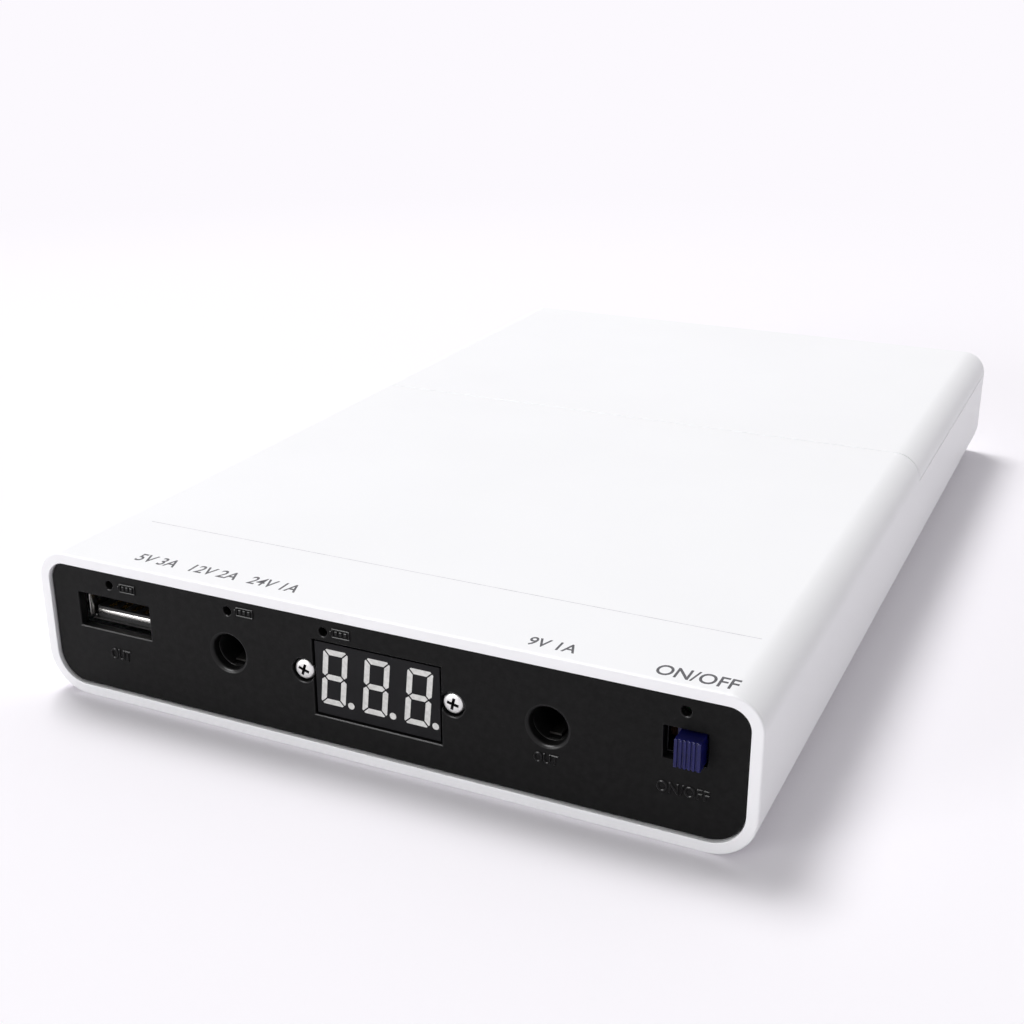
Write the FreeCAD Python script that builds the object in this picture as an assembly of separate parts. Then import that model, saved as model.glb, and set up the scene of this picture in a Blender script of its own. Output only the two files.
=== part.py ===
import FreeCAD, Part
import math
import os

# A flat desktop power bank: white case with a sliding battery cover, black front plate with a USB
# socket, two round DC sockets, a three-digit display and a slide switch, and six cells inside.
# X runs along the front from left to right, Y runs backwards, Z is up. Millimetres.
# The origin is under the middle of the whole object, on the surface it stands on.

Vector = FreeCAD.Vector
os.makedirs("parts", exist_ok=True)

# How far a cut runs past what it cuts, and how deep a moulded feature roots in its wall
BEYOND = 1.0
ROOT = 0.2

# Case
CASE_WIDTH = 120.0
CASE_DEPTH = 190.0
CASE_HEIGHT = 24.6
CASE_WALL = 1.8
TOP_RADIUS = 5.0
BOTTOM_RADIUS = 7.0
REAR_ROUNDING = 1.2
RIM_ROUNDING = 0.35
STOP_STEP = 0.6
STOP_LENGTH = 3.0

# Battery cover, its rails and its front tongue
COVER_LEAD = 5.2
SEAM_GAP = 0.25
SLIDE_CLEARANCE = 0.15
LIP_THICKNESS = 1.0
LIP_DROP = 2.0
RAIL_BITE = 0.6
RAIL_HEIGHT = 0.9
TONGUE_REACH = 3.0
TONGUE_ROOT = 4.0
TONGUE_THICKNESS = 0.8
TONGUE_INSET = 8.2

# Front plate and its snap arms
PLATE_THICKNESS = 1.8
PLATE_RECESS = 0.5
PLATE_GAP = 0.2
ARM_INSET = 22.2
ARM_WIDTH = 8.0
ARM_THICKNESS = 1.2
BARB_REACH = 0.45
BARB_LENGTH = 1.2
FIT_GAP = 0.15

# Circuit board, hung high in the front of the case
BOARD_HEADROOM = 3.05
BOARD_THICKNESS = 1.6
BOARD_FRONT_GAP = 0.3
BOARD_SIDE_GAP = 0.3
RAIL_SHELF = 2.0
BOARD_STOP_LENGTH = 2.0
RAIL_SHELF_HEIGHT = 1.5
CEILING_RIB_INSET = 5.2
CEILING_RIB_WIDTH = 1.2
CEILING_RIB_START = 14.0
PIN_STAND_OUT = 0.5
PIN_SIZE = 0.6
PIN_HOLE_RADIUS = 0.65

# USB socket, so far in from the left wall
USB_INSET = 12.3
USB_WIDTH = 13.2
USB_HEIGHT = 5.7
USB_LENGTH = 14.0
USB_SHEET = 0.3
USB_MARGIN_X = 0.4
USB_MARGIN_Z = 0.1
TONGUE_TIP_SETBACK = 0.8
USB_TONGUE_WIDTH = 11.1
USB_TONGUE_THICKNESS = 1.84
USB_TONGUE_LIFT = 0.4
USB_BLOCK_LENGTH = 2.0
USB_CONTACT_COUNT = 4
USB_CONTACT_PITCH = 2.25
USB_CONTACT_WIDTH = 1.0
CONTACT_SHEET = 0.2
CONTACT_SETBACK = 0.6

# Round DC sockets
JACK_XS = {"left": -24.1, "right": 29.35}
JACK_BODY_WIDTH = 9.0
JACK_BODY_LENGTH = 12.0
JACK_CENTRE_DROP = 4.75
JACK_BORE_RADIUS = 3.0
JACK_BORE_DEPTH = 9.5
JACK_HOLE_RADIUS = 2.9
JACK_HOLE_CHAMFER = 0.4
JACK_PIN_RADIUS = 1.05
JACK_PIN_ROUNDING = 0.63
JACK_PIN_SETBACK = 4.4
SPRING_WIDTH = 1.8
SPRING_SHEET = 0.3
SPRING_SETBACK = 1.1
SPRING_TIP_RISE = 0.35
SPRING_BOW = 0.8
SPRING_SLACK = 0.1

# Display
DISPLAY_X = 1.95
DISPLAY_DROP = 5.45
WINDOW_WIDTH = 21.6
WINDOW_HEIGHT = 12.6
DISPLAY_GAP = 0.35
DISPLAY_SETBACK = 0.3
MODULE_DEPTH = 7.0
DISPLAY_BOARD_THICKNESS = 1.2
DIGIT_COUNT = 3
DIGIT_PITCH = 7.1
DIGIT_WIDTH = 4.2
DIGIT_HEIGHT = 9.2
DIGIT_RISE = 0.4
DIGIT_SHIFT = -0.15
DIGIT_SLANT = 5.3
STROKE = 0.9
STROKE_GAP = 0.16
CORNER_CUT = 0.35
SEGMENT_DEPTH = 0.4
POINT_RADIUS = 0.55
POINT_OFFSET = 2.7
DISPLAY_PIN_COUNT = 8
DISPLAY_PIN_PITCH = 2.0
DISPLAY_PIN_DROP = 1.75
DISPLAY_PIN_REACH = 2.2

# Display holder and the screws that hold it and the plate
HOLDER_WALL = 1.2
PLATE_SCREW_SPACING = 25.1
PLATE_SCREW_DROP = 4.75
SCREW_RADIUS = 0.95
SCREW_HOLE_GAP = 0.05
SCREW_LENGTH = 6.0
HEAD_RADIUS = 1.7
HEAD_HEIGHT = 1.0
HEAD_ROUNDING = 0.45
CROSS_LENGTH = 2.0
CROSS_WIDTH = 0.45
CROSS_DEPTH = 0.6
SCREW_RECESS_RADIUS = 1.95
SCREW_RECESS_DEPTH = 1.2
BOSS_RADIUS = 2.4
HOLDER_ARM_WIDTH = 4.0
HOLDER_ARM_LENGTH = 12.0
HOLDER_ARM_HEIGHT = 4.2
HOLDER_SCREW_INSET = 2.2

# Slide switch, so far in from the right wall
SWITCH_INSET = 8.9
SWITCH_WINDOW_WIDTH = 6.2
SWITCH_WINDOW_HEIGHT = 4.9
SWITCH_CAN_WIDTH = 8.8
SWITCH_CAN_HEIGHT = 5.6
SWITCH_CAN_DEPTH = 4.4
SWITCH_SHEET = 0.3
SWITCH_BASE_DEPTH = 1.2
KNOB_WIDTH = 3.7
KNOB_HEIGHT = 4.2
KNOB_PROUD = 2.35
KNOB_TRAVEL = 2.0
KNOB_GAP = 0.2
KNOB_FOOT_WIDTH = 5.8
KNOB_FOOT_DEPTH = 2.0
KNOB_RIB_COUNT = 6
KNOB_RIB_DEPTH = 0.25
KNOB_RIB_SHARE = 0.5
SWITCH_PIN_PITCH = 2.5
SWITCH_PIN_REACH = 4.2

# Lamps that show through small holes, each so far right of the socket, display or switch below it
LAMP_SHIFTS = [-0.5, 0.3, -8.75, -0.1]
LAMP_WIDTH = 3.0
LAMP_HEIGHT = 1.5
LAMP_DEPTH = 1.6
LAMP_HOLE_RADIUS = 0.72

# Converter parts under the board, in rows so far ahead of its rear edge
INDUCTOR_XS = [-38.0, -4.0, 30.0]
INDUCTOR_ROW = 49.6
INDUCTOR_SIZE = 10.0
INDUCTOR_HEIGHT = 5.0
INDUCTOR_CORNER = 1.6
CAPACITOR_XS = [-24.0, -15.0, 11.0, 42.0]
CAPACITOR_ROW = 33.6
CAPACITOR_RADIUS = 4.0
CAPACITOR_HEIGHT = 9.5
CAPACITOR_BASE = 8.3
CAPACITOR_BASE_HEIGHT = 1.0
CHIP_XS = [-40.0, -6.0, 28.0, 46.0]
CHIP_ROW = 21.6
CHIP_LENGTH = 5.0
CHIP_WIDTH = 4.0
CHIP_HEIGHT = 1.5
CHIP_LEG_PITCH = 1.27
CHIP_LEG_REACH = 1.0
CHIP_LEG_WIDTH = 0.4
CHIP_LEGS_PER_SIDE = 4

# Cells and their holder
CELL_LENGTH = 65.2
CELL_HEADROOM = 1.4
CELL_SPACING = 0.35
CELL_BUTTON_RADIUS = 3.2
CELL_BUTTON_HEIGHT = 1.2
CELL_CRIMP_AT = 3.4
CELL_CRIMP_DEPTH = 0.45
CRADLE_GAP = 0.15
HOLDER_FLOOR = 1.05
CRADLE_HEIGHT = 4.0
HOLDER_SIDE_GAP = 1.8
HOLDER_END_WALL = 1.4
HOLDER_HEADROOM = 2.4
HOLDER_REAR_GAP = 1.6
STRIP_SHEET = 0.3
STRIP_HEIGHT = 8.0
STRIP_MARGIN = 1.0
CONTACT_BUMP = 0.5
CONTACT_BUMP_RADIUS = 1.6
SPRING_SPACE = 6.3
CONE_TURNS = 4
ARCS_PER_TURN = 4
CONE_WIRE_RADIUS = 0.35
CONE_BASE_RADIUS = 5.4
CONE_TIP_RADIUS = 2.4
EAR_X = 28.0
EAR_WIDTH = 8.0
EAR_THICKNESS = 2.0
EAR_BOSS_RADIUS = 2.4
EAR_BOSS_HEIGHT = 6.0
EAR_BORE_DEPTH = 5.4
EAR_SCREW_LENGTH = 7.0
REAR_BLOCK_X = 28.0
REAR_BLOCK_WIDTH = 6.0

# Leads from the strips to the board, so far in from the side walls
WIRE_ROOM = 21.6
LEAD_RADIUS = 0.6
LEAD_INSET = 8.7
LEAD_END_ON_BOARD = 5.0
LEAD_BEND_SHARE = 0.45
LEAD_END_GAP = 0.4
RED_LEAD_BENDS = [0.7, 0.25]
BLACK_LEAD_BENDS = [0.75, 0.45, 0.15]
BLACK_LEAD_STEP_OUT = 3.0
TAB_WIDTH = 5.0
TAB_REACH = 3.0

# Places that follow from the sizes above
knob_overhang = KNOB_PROUD - PLATE_RECESS
rim_y = (knob_overhang - CASE_DEPTH) / 2
rear_y = rim_y + CASE_DEPTH
half_width = CASE_WIDTH / 2
plate_front = rim_y + PLATE_RECESS
plate_back = plate_front + PLATE_THICKNESS
floor_z = CASE_WALL
ceiling_z = CASE_HEIGHT - CASE_WALL
inner_half = half_width - CASE_WALL
inner_rear = rear_y - CASE_WALL
split_z = CASE_HEIGHT - TOP_RADIUS
lip_outer = inner_half - SLIDE_CLEARANCE
lip_inner = lip_outer - LIP_THICKNESS
lip_bottom = split_z - LIP_DROP

# The cell bay, measured forwards from the rear wall. Each cell is as thick as the height leaves
# room for, and there are as many side by side as the width has room for.
holder_rear = inner_rear - HOLDER_REAR_GAP
negative_face = holder_rear - HOLDER_END_WALL
cell_rear = negative_face - STRIP_SHEET - SPRING_SPACE
cell_front = cell_rear - CELL_LENGTH
positive_face = cell_front - CONTACT_BUMP - STRIP_SHEET
holder_front = positive_face - HOLDER_END_WALL
seam_y = holder_front - COVER_LEAD
cell_radius = (ceiling_z - CELL_HEADROOM - floor_z - HOLDER_FLOOR - CRADLE_GAP) / 2
cell_z = floor_z + HOLDER_FLOOR + CRADLE_GAP + cell_radius
cell_pitch = 2 * cell_radius + CELL_SPACING
holder_half_width = inner_half - HOLDER_SIDE_GAP
cell_count = int(2 * holder_half_width / cell_pitch)
cell_xs = [(i - (cell_count - 1) / 2) * cell_pitch for i in range(cell_count)]
boss_top = floor_z + EAR_BOSS_HEIGHT
lead_x = inner_half - LEAD_INSET
strip_half = max(cell_xs[-1] + CONE_BASE_RADIUS, lead_x + TAB_WIDTH / 2) + STRIP_MARGIN

# The board and what it carries
board_top = ceiling_z - BOARD_HEADROOM
board_under = board_top - BOARD_THICKNESS
board_front = plate_back + BOARD_FRONT_GAP
board_rear = holder_front - WIRE_ROOM
board_half = inner_half - STOP_STEP - BOARD_SIDE_GAP
usb_x = USB_INSET - inner_half
usb_z = board_under - USB_HEIGHT / 2
jack_z = board_under - JACK_CENTRE_DROP
switch_x = inner_half - SWITCH_INSET
switch_z = board_under - SWITCH_CAN_HEIGHT / 2
knob_x = switch_x + KNOB_TRAVEL / 2
can_front = plate_back + SLIDE_CLEARANCE
can_back = can_front + SWITCH_CAN_DEPTH
lamp_z = board_top + LAMP_HEIGHT / 2
lamp_owners = [usb_x, JACK_XS["left"], DISPLAY_X, switch_x]
lamp_xs = [owner + shift for owner, shift in zip(lamp_owners, LAMP_SHIFTS)]

# The display and its holder
display_z = board_under - DISPLAY_DROP
plate_screw_z = board_under - PLATE_SCREW_DROP
module_front = plate_front + DISPLAY_SETBACK
module_back = module_front + MODULE_DEPTH
display_board_back = module_back + DISPLAY_BOARD_THICKNESS
module_half = WINDOW_WIDTH / 2 - DISPLAY_GAP
module_half_height = WINDOW_HEIGHT / 2 - DISPLAY_GAP
pocket_half = module_half + FIT_GAP
holder_half = pocket_half + HOLDER_WALL
screw_hole_radius = SCREW_RADIUS + SCREW_HOLE_GAP


# Shapes used by several pieces

def box(x0, x1, y0, y1, z0, z1):
    return Part.makeBox(x1 - x0, y1 - y0, z1 - z0, Vector(x0, y0, z0))


def block(x, width, y0, y1, z, height):
    """A box centred on x and z, running from y0 to y1."""
    return box(x - width / 2, x + width / 2, y0, y1, z - height / 2, z + height / 2)


def rod_y(x, z, radius, y0, y1):
    return Part.makeCylinder(radius, y1 - y0, Vector(x, y0, z), Vector(0, 1, 0))


def rod_z(x, y, radius, z0, z1):
    return Part.makeCylinder(radius, z1 - z0, Vector(x, y, z0), Vector(0, 0, 1))


def joined(shapes):
    """One solid from several that overlap or share a face."""
    return shapes[0].fuse(shapes[1:]).removeSplitter()


def case_section(inset, y0, y1):
    """The case's end-on outline, drawn in by inset, run from y0 to y1."""
    half = half_width - inset
    low = inset
    high = CASE_HEIGHT - inset
    corners = [
        (half, low, 1, -1, BOTTOM_RADIUS - inset),
        (half, high, 1, 1, TOP_RADIUS - inset),
        (-half, high, -1, 1, TOP_RADIUS - inset),
        (-half, low, -1, -1, BOTTOM_RADIUS - inset),
    ]
    diagonal = math.sqrt(0.5)
    arcs = []
    for x, z, side, end, radius in corners:
        centre_x = x - side * radius
        centre_z = z - end * radius
        on_side = Vector(x, y0, centre_z)
        on_end = Vector(centre_x, y0, z)
        middle = Vector(centre_x + side * radius * diagonal, y0, centre_z + end * radius * diagonal)
        first, last = (on_end, on_side) if side == -end else (on_side, on_end)
        arcs.append((first, middle, last))
    edges = []
    for i, (first, middle, last) in enumerate(arcs):
        edges.append(Part.Arc(first, middle, last).toShape())
        following = arcs[(i + 1) % len(arcs)][0]
        edges.append(Part.LineSegment(last, following).toShape())
    face = Part.Face(Part.Wire(edges))
    return face.extrude(Vector(0, y1 - y0, 0))


def edges_at(shape, y):
    """The edges that lie wholly in the plane at y."""
    found = []
    for edge in shape.Edges:
        if all(abs(vertex.Point.y - y) < 1e-6 for vertex in edge.Vertexes):
            if abs(edge.BoundBox.YMax - edge.BoundBox.YMin) < 1e-3:
                found.append(edge)
    return found


def case_envelope():
    """The closed outside shape of the case, with its front rim and rear end rounded."""
    whole = case_section(0, rim_y, rear_y)
    whole = whole.makeFillet(REAR_ROUNDING, edges_at(whole, rear_y))
    return whole.makeFillet(RIM_ROUNDING, edges_at(whole, rim_y))


def pan_screw(length):
    """A pan-head cross screw, shank down from the seat of its head at the origin."""
    head = rod_z(0, 0, HEAD_RADIUS, 0, HEAD_HEIGHT)
    rim = [edge for edge in head.Edges if edge.BoundBox.ZMin > HEAD_HEIGHT - 1e-3]
    head = head.makeFillet(HEAD_ROUNDING, rim)
    slot_low = HEAD_HEIGHT - CROSS_DEPTH
    half = CROSS_LENGTH / 2
    thin = CROSS_WIDTH / 2
    slot_high = HEAD_HEIGHT + BEYOND
    head = head.cut(box(-half, half, -thin, thin, slot_low, slot_high))
    head = head.cut(box(-thin, thin, -half, half, slot_low, slot_high))
    return joined([head, rod_z(0, 0, SCREW_RADIUS, -length, 0)])


def arc_at(start, corner, end):
    """The arc that leaves start towards corner and comes in to end from it, and its radius."""
    to_start = (start - corner).normalize()
    to_end = (end - corner).normalize()
    half_turn = (math.pi - to_start.getAngle(to_end)) / 2
    radius = (start - corner).Length / math.tan(half_turn)
    inward = (to_start + to_end).normalize()
    middle = corner + inward * (radius / math.cos(half_turn) - radius)
    return Part.Arc(start, middle, end).toShape(), radius


def swept(edges, start, heading, radius):
    """A round wire or lead along edges that join smoothly."""
    ring = Part.Wire([Part.Circle(start, heading, radius).toShape()])
    return Part.Wire(edges).makePipeShell([ring], True, False)


def tube(points, radius):
    """A round lead: straight runs through the points, joined by tangent arcs."""
    edges = []
    start = points[0]
    for before, corner, after in zip(points, points[1:], points[2:]):
        reach = LEAD_BEND_SHARE * min((before - corner).Length, (after - corner).Length)
        into = corner + (before - corner).normalize() * reach
        out = corner + (after - corner).normalize() * reach
        arc, bend = arc_at(into, corner, out)
        edges.append(Part.LineSegment(start, into).toShape())
        edges.append(arc)
        start = out
        print("lead bend radius", round(bend, 2))
    edges.append(Part.LineSegment(start, points[-1]).toShape())
    return swept(edges, points[0], points[1] - points[0], radius)


def save(name, shape):
    shape.exportStep("parts/" + name + ".step")
    print(name, len(shape.Solids), "solids", round(shape.Volume, 2), "mm3", shape.isValid())


# Case and cover

def cover_space(clearance):
    """What the cover's profile sweeps on its way back, grown by a clearance."""
    y0 = seam_y
    y1 = rear_y + BEYOND
    wide = half_width + BEYOND
    top = CASE_HEIGHT + BEYOND
    inner = lip_inner - clearance
    low = lip_bottom - clearance
    above = box(-wide, wide, y0, y1, split_z, top)
    middle = box(-inner_half, inner_half, y0, y1, low, top)
    parts = [above, middle]
    for side in (-1, 1):
        groove = sorted([side * inner, side * (lip_outer + RAIL_BITE + clearance)])
        parts.append(box(groove[0], groove[1], y0, y1, low, lip_bottom + RAIL_HEIGHT + clearance))
    return joined(parts)


def main_shell():
    shell = case_envelope()
    stop_back = plate_back + STOP_LENGTH
    shell = shell.cut(case_section(CASE_WALL, rim_y - BEYOND, plate_back))
    shell = shell.cut(case_section(CASE_WALL + STOP_STEP, plate_back, stop_back))
    shell = shell.cut(case_section(CASE_WALL, stop_back, inner_rear))
    shell = shell.cut(cover_space(SLIDE_CLEARANCE))
    extras = []
    shelf_low = board_under - RAIL_SHELF_HEIGHT
    stop_front = board_rear + FIT_GAP
    stop_rear = stop_front + BOARD_STOP_LENGTH
    for side in (-1, 1):
        shelf = sorted([side * (board_half - RAIL_SHELF), side * (inner_half + ROOT)])
        extras.append(box(shelf[0], shelf[1], stop_back, stop_rear, shelf_low, board_under))
        extras.append(box(shelf[0], shelf[1], stop_front, stop_rear, shelf_low, board_top))
        rib_x = side * (inner_half - CEILING_RIB_INSET)
        rib_y = rim_y + CEILING_RIB_START
        rib_low = board_top + FIT_GAP
        extras.append(box(rib_x - CEILING_RIB_WIDTH / 2, rib_x + CEILING_RIB_WIDTH / 2,
                          rib_y, board_rear, rib_low, ceiling_z + ROOT))
        extras.append(rod_z(side * EAR_X, ear_screw_y(), EAR_BOSS_RADIUS, floor_z - ROOT, boss_top))
    shell = joined([shell] + extras)
    for side in (-1, 1):
        shell = shell.cut(rod_z(side * EAR_X, ear_screw_y(), screw_hole_radius,
                                boss_top - EAR_BORE_DEPTH, boss_top + BEYOND))
    return shell


def battery_cover():
    front = seam_y + SEAM_GAP
    under = split_z + SEAM_GAP / 2
    wide = half_width + BEYOND
    cover = case_envelope()
    cover = cover.cut(case_section(CASE_WALL, rim_y - BEYOND, inner_rear))
    cover = cover.common(box(-wide, wide, front, rear_y + BEYOND, under, CASE_HEIGHT + BEYOND))
    extras = []
    root_z = (split_z + ceiling_z) / 2
    rail_top = lip_bottom + RAIL_HEIGHT
    for side in (-1, 1):
        lip = sorted([side * lip_inner, side * lip_outer])
        root = sorted([side * lip_inner, side * (inner_half + ROOT)])
        rail = sorted([side * lip_inner, side * (lip_outer + RAIL_BITE)])
        extras.append(box(lip[0], lip[1], front, rear_y, lip_bottom, root_z))
        extras.append(box(root[0], root[1], front, inner_rear + ROOT, under, root_z))
        extras.append(box(rail[0], rail[1], front, rear_y - REAR_ROUNDING, lip_bottom, rail_top))
    extras.append(box(-lip_inner, lip_inner, inner_rear, rear_y, lip_bottom, under + ROOT))
    # The tongue goes under the front ring's roof, and hangs from the roof of the cover.
    tongue_top = ceiling_z - SLIDE_CLEARANCE
    tongue_low = tongue_top - TONGUE_THICKNESS
    half = inner_half - TONGUE_INSET
    tongue_rear = front + TONGUE_ROOT
    extras.append(box(-half, half, front - TONGUE_REACH, tongue_rear, tongue_low, tongue_top))
    extras.append(box(-half, half, front, tongue_rear, tongue_low, ceiling_z + ROOT))
    return joined([cover] + extras)


# Front plate

def screw_xs():
    half = PLATE_SCREW_SPACING / 2
    return [DISPLAY_X - half, DISPLAY_X + half]


def front_plate():
    plate = case_section(CASE_WALL + PLATE_GAP, plate_front, plate_back)
    y0 = plate_front - BEYOND
    y1 = plate_back + BEYOND
    usb_w = USB_WIDTH + 2 * USB_MARGIN_X
    usb_h = USB_HEIGHT + 2 * USB_MARGIN_Z
    plate = plate.cut(block(usb_x, usb_w, y0, y1, usb_z, usb_h))
    plate = plate.cut(block(DISPLAY_X, WINDOW_WIDTH, y0, y1, display_z, WINDOW_HEIGHT))
    plate = plate.cut(block(switch_x, SWITCH_WINDOW_WIDTH, y0, y1, switch_z, SWITCH_WINDOW_HEIGHT))
    for x in JACK_XS.values():
        plate = plate.cut(rod_y(x, jack_z, JACK_HOLE_RADIUS, y0, y1))
        mouth = JACK_HOLE_RADIUS + JACK_HOLE_CHAMFER
        cone = Part.makeCone(mouth, JACK_HOLE_RADIUS, JACK_HOLE_CHAMFER,
                             Vector(x, plate_front, jack_z), Vector(0, 1, 0))
        plate = plate.cut(cone)
    for x in lamp_xs:
        plate = plate.cut(rod_y(x, lamp_z, LAMP_HOLE_RADIUS, y0, y1))
    for x in screw_xs():
        seat = plate_front + SCREW_RECESS_DEPTH
        plate = plate.cut(rod_y(x, plate_screw_z, SCREW_RECESS_RADIUS, y0, seat))
        plate = plate.cut(rod_y(x, plate_screw_z, screw_hole_radius + FIT_GAP, y0, y1))
    arms = []
    barb_start = plate_back + STOP_LENGTH + FIT_GAP
    arm_end = barb_start + BARB_LENGTH
    arm_root = plate_back - ROOT
    low = floor_z + STOP_STEP + FIT_GAP
    high = ceiling_z - STOP_STEP - FIT_GAP
    arm_x = inner_half - ARM_INSET
    for x in (-arm_x, arm_x):
        x0 = x - ARM_WIDTH / 2
        x1 = x + ARM_WIDTH / 2
        arms.append(box(x0, x1, arm_root, arm_end, low, low + ARM_THICKNESS))
        arms.append(box(x0, x1, barb_start, arm_end, low - BARB_REACH, low + ARM_THICKNESS))
        arms.append(box(x0, x1, arm_root, arm_end, high - ARM_THICKNESS, high))
        arms.append(box(x0, x1, barb_start, arm_end, high - ARM_THICKNESS, high + BARB_REACH))
    return joined([plate] + arms)


def plate_screws():
    seat = plate_front + SCREW_RECESS_DEPTH
    screws = []
    for x in screw_xs():
        screw = pan_screw(SCREW_LENGTH)
        screw.rotate(Vector(0, 0, 0), Vector(1, 0, 0), 90)
        screw.translate(Vector(x, seat, plate_screw_z))
        screws.append(screw)
    return Part.makeCompound(screws)


# Display

def slanted(x, z):
    """A point of a digit, leaned over by the digit's slant, in the display's own plane."""
    return Vector(x + z * math.tan(math.radians(DIGIT_SLANT)), 0, z)


def digit_outlines():
    """The seven segments of one digit, about the digit's centre."""
    w = DIGIT_WIDTH / 2
    h = DIGIT_HEIGHT / 2
    s = STROKE
    g = STROKE_GAP
    k = CORNER_CUT
    bar = [(-w + k + g, h), (w - k - g, h), (w - k / 2 - g, h - k / 2),
           (w - s - g, h - s), (-w + s + g, h - s), (-w + k / 2 + g, h - k / 2)]
    post = [(w, h - k - g), (w - k / 2, h - k / 2 - g), (w - s, h - s - g),
            (w - s, s / 2 + g), (w - s / 2, g), (w, k + g)]
    middle = [(-w + s / 2 + g, 0), (-w + s + g, s / 2), (w - s - g, s / 2),
              (w - s / 2 - g, 0), (w - s - g, -s / 2), (-w + s + g, -s / 2)]
    outlines = [bar, [(x, -z) for x, z in bar], middle]
    for side in (-1, 1):
        for end in (-1, 1):
            outlines.append([(side * x, end * z) for x, z in post])
    return outlines


def display_segments():
    shapes = []
    for i in range(DIGIT_COUNT):
        along = DIGIT_SHIFT + (i - (DIGIT_COUNT - 1) / 2) * DIGIT_PITCH
        centre = Vector(DISPLAY_X + along, module_front, display_z + DIGIT_RISE)
        for outline in digit_outlines():
            points = [slanted(x, z) + centre for x, z in outline]
            wire = Part.makePolygon(points + [points[0]])
            shapes.append(Part.Face(wire).extrude(Vector(0, SEGMENT_DEPTH, 0)))
        point_z = centre.z - DIGIT_HEIGHT / 2 + POINT_RADIUS
        shapes.append(rod_y(centre.x + POINT_OFFSET, point_z, POINT_RADIUS,
                            module_front, module_front + SEGMENT_DEPTH))
    return Part.makeCompound(shapes)


def display_module():
    body = block(DISPLAY_X, 2 * module_half, module_front, module_back,
                 display_z, 2 * module_half_height)
    return body.cut(display_segments())


def display_board():
    return block(DISPLAY_X, 2 * module_half, module_back, display_board_back,
                 display_z, 2 * module_half_height)


def display_pin_xs():
    middle = (DISPLAY_PIN_COUNT - 1) / 2
    return [DISPLAY_X + (i - middle) * DISPLAY_PIN_PITCH for i in range(DISPLAY_PIN_COUNT)]


def display_pins():
    pins = []
    bend_y = display_board_back + DISPLAY_PIN_REACH
    pin_z = board_under - DISPLAY_PIN_DROP
    half = PIN_SIZE / 2
    for x in display_pin_xs():
        level = box(x - half, x + half, display_board_back, bend_y + half, pin_z - half, pin_z + half)
        riser = box(x - half, x + half, bend_y - half, bend_y + half,
                    pin_z - half, board_top + PIN_STAND_OUT)
        pins.append(joined([level, riser]))
    return Part.makeCompound(pins)


def holder_screw_places():
    reach = holder_half + HOLDER_SCREW_INSET
    y = plate_back + HOLDER_ARM_LENGTH - HOLDER_SCREW_INSET
    return [(DISPLAY_X - reach, y), (DISPLAY_X + reach, y)]


def display_holder():
    bottom = display_z - module_half_height - FIT_GAP
    cradle = box(DISPLAY_X - holder_half, DISPLAY_X + holder_half, plate_back, module_back,
                 bottom - HOLDER_WALL, board_under)
    parts = [cradle]
    for x in screw_xs():
        parts.append(rod_y(x, plate_screw_z, BOSS_RADIUS, plate_back, module_back))
    arm_end = plate_back + HOLDER_ARM_LENGTH
    for side in (-1, 1):
        near = DISPLAY_X + side * (pocket_half + FIT_GAP)
        far = near + side * (HOLDER_WALL + HOLDER_ARM_WIDTH)
        xs = sorted([near, far])
        parts.append(box(xs[0], xs[1], plate_back, arm_end,
                         board_under - HOLDER_ARM_HEIGHT, board_under))
    holder = joined(parts)
    y0 = plate_back - BEYOND
    holder = holder.cut(box(DISPLAY_X - pocket_half, DISPLAY_X + pocket_half, y0, arm_end + BEYOND,
                            bottom, board_under + BEYOND))
    for x in screw_xs():
        holder = holder.cut(rod_y(x, plate_screw_z, screw_hole_radius, y0, module_back + BEYOND))
    for x, y in holder_screw_places():
        holder = holder.cut(rod_z(x, y, screw_hole_radius, 0, board_under + BEYOND))
    return holder


def display_holder_screws():
    screws = []
    for x, y in holder_screw_places():
        screw = pan_screw(BOARD_THICKNESS + HOLDER_ARM_HEIGHT)
        screw.translate(Vector(x, y, board_top))
        screws.append(screw)
    return Part.makeCompound(screws)


# USB socket

def usb_contact_xs():
    middle = (USB_CONTACT_COUNT - 1) / 2
    return [usb_x + (i - middle) * USB_CONTACT_PITCH for i in range(USB_CONTACT_COUNT)]


def usb_tail_y():
    return plate_back + USB_LENGTH + PIN_SIZE / 2


def usb_tongue_bottom():
    return usb_z - USB_HEIGHT / 2 + USB_SHEET + USB_TONGUE_LIFT


def usb_shell():
    y1 = plate_back + USB_LENGTH
    outside = block(usb_x, USB_WIDTH, plate_back, y1, usb_z, USB_HEIGHT)
    inside = block(usb_x, USB_WIDTH - 2 * USB_SHEET, plate_back - BEYOND, y1 + BEYOND,
                   usb_z, USB_HEIGHT - 2 * USB_SHEET)
    return outside.cut(inside)


def usb_contacts():
    low = usb_tongue_bottom() + USB_TONGUE_THICKNESS - CONTACT_SHEET
    front = plate_back + TONGUE_TIP_SETBACK + CONTACT_SETBACK
    tail_front = usb_tail_y() - PIN_SIZE / 2
    tail_rear = usb_tail_y() + PIN_SIZE / 2
    contacts = []
    for x in usb_contact_xs():
        half = USB_CONTACT_WIDTH / 2
        thin = PIN_SIZE / 2
        strip = box(x - half, x + half, front, tail_rear, low, low + CONTACT_SHEET)
        tail = box(x - thin, x + thin, tail_front, tail_rear, low, board_top + PIN_STAND_OUT)
        contacts.append(joined([strip, tail]))
    return Part.makeCompound(contacts)


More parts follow.
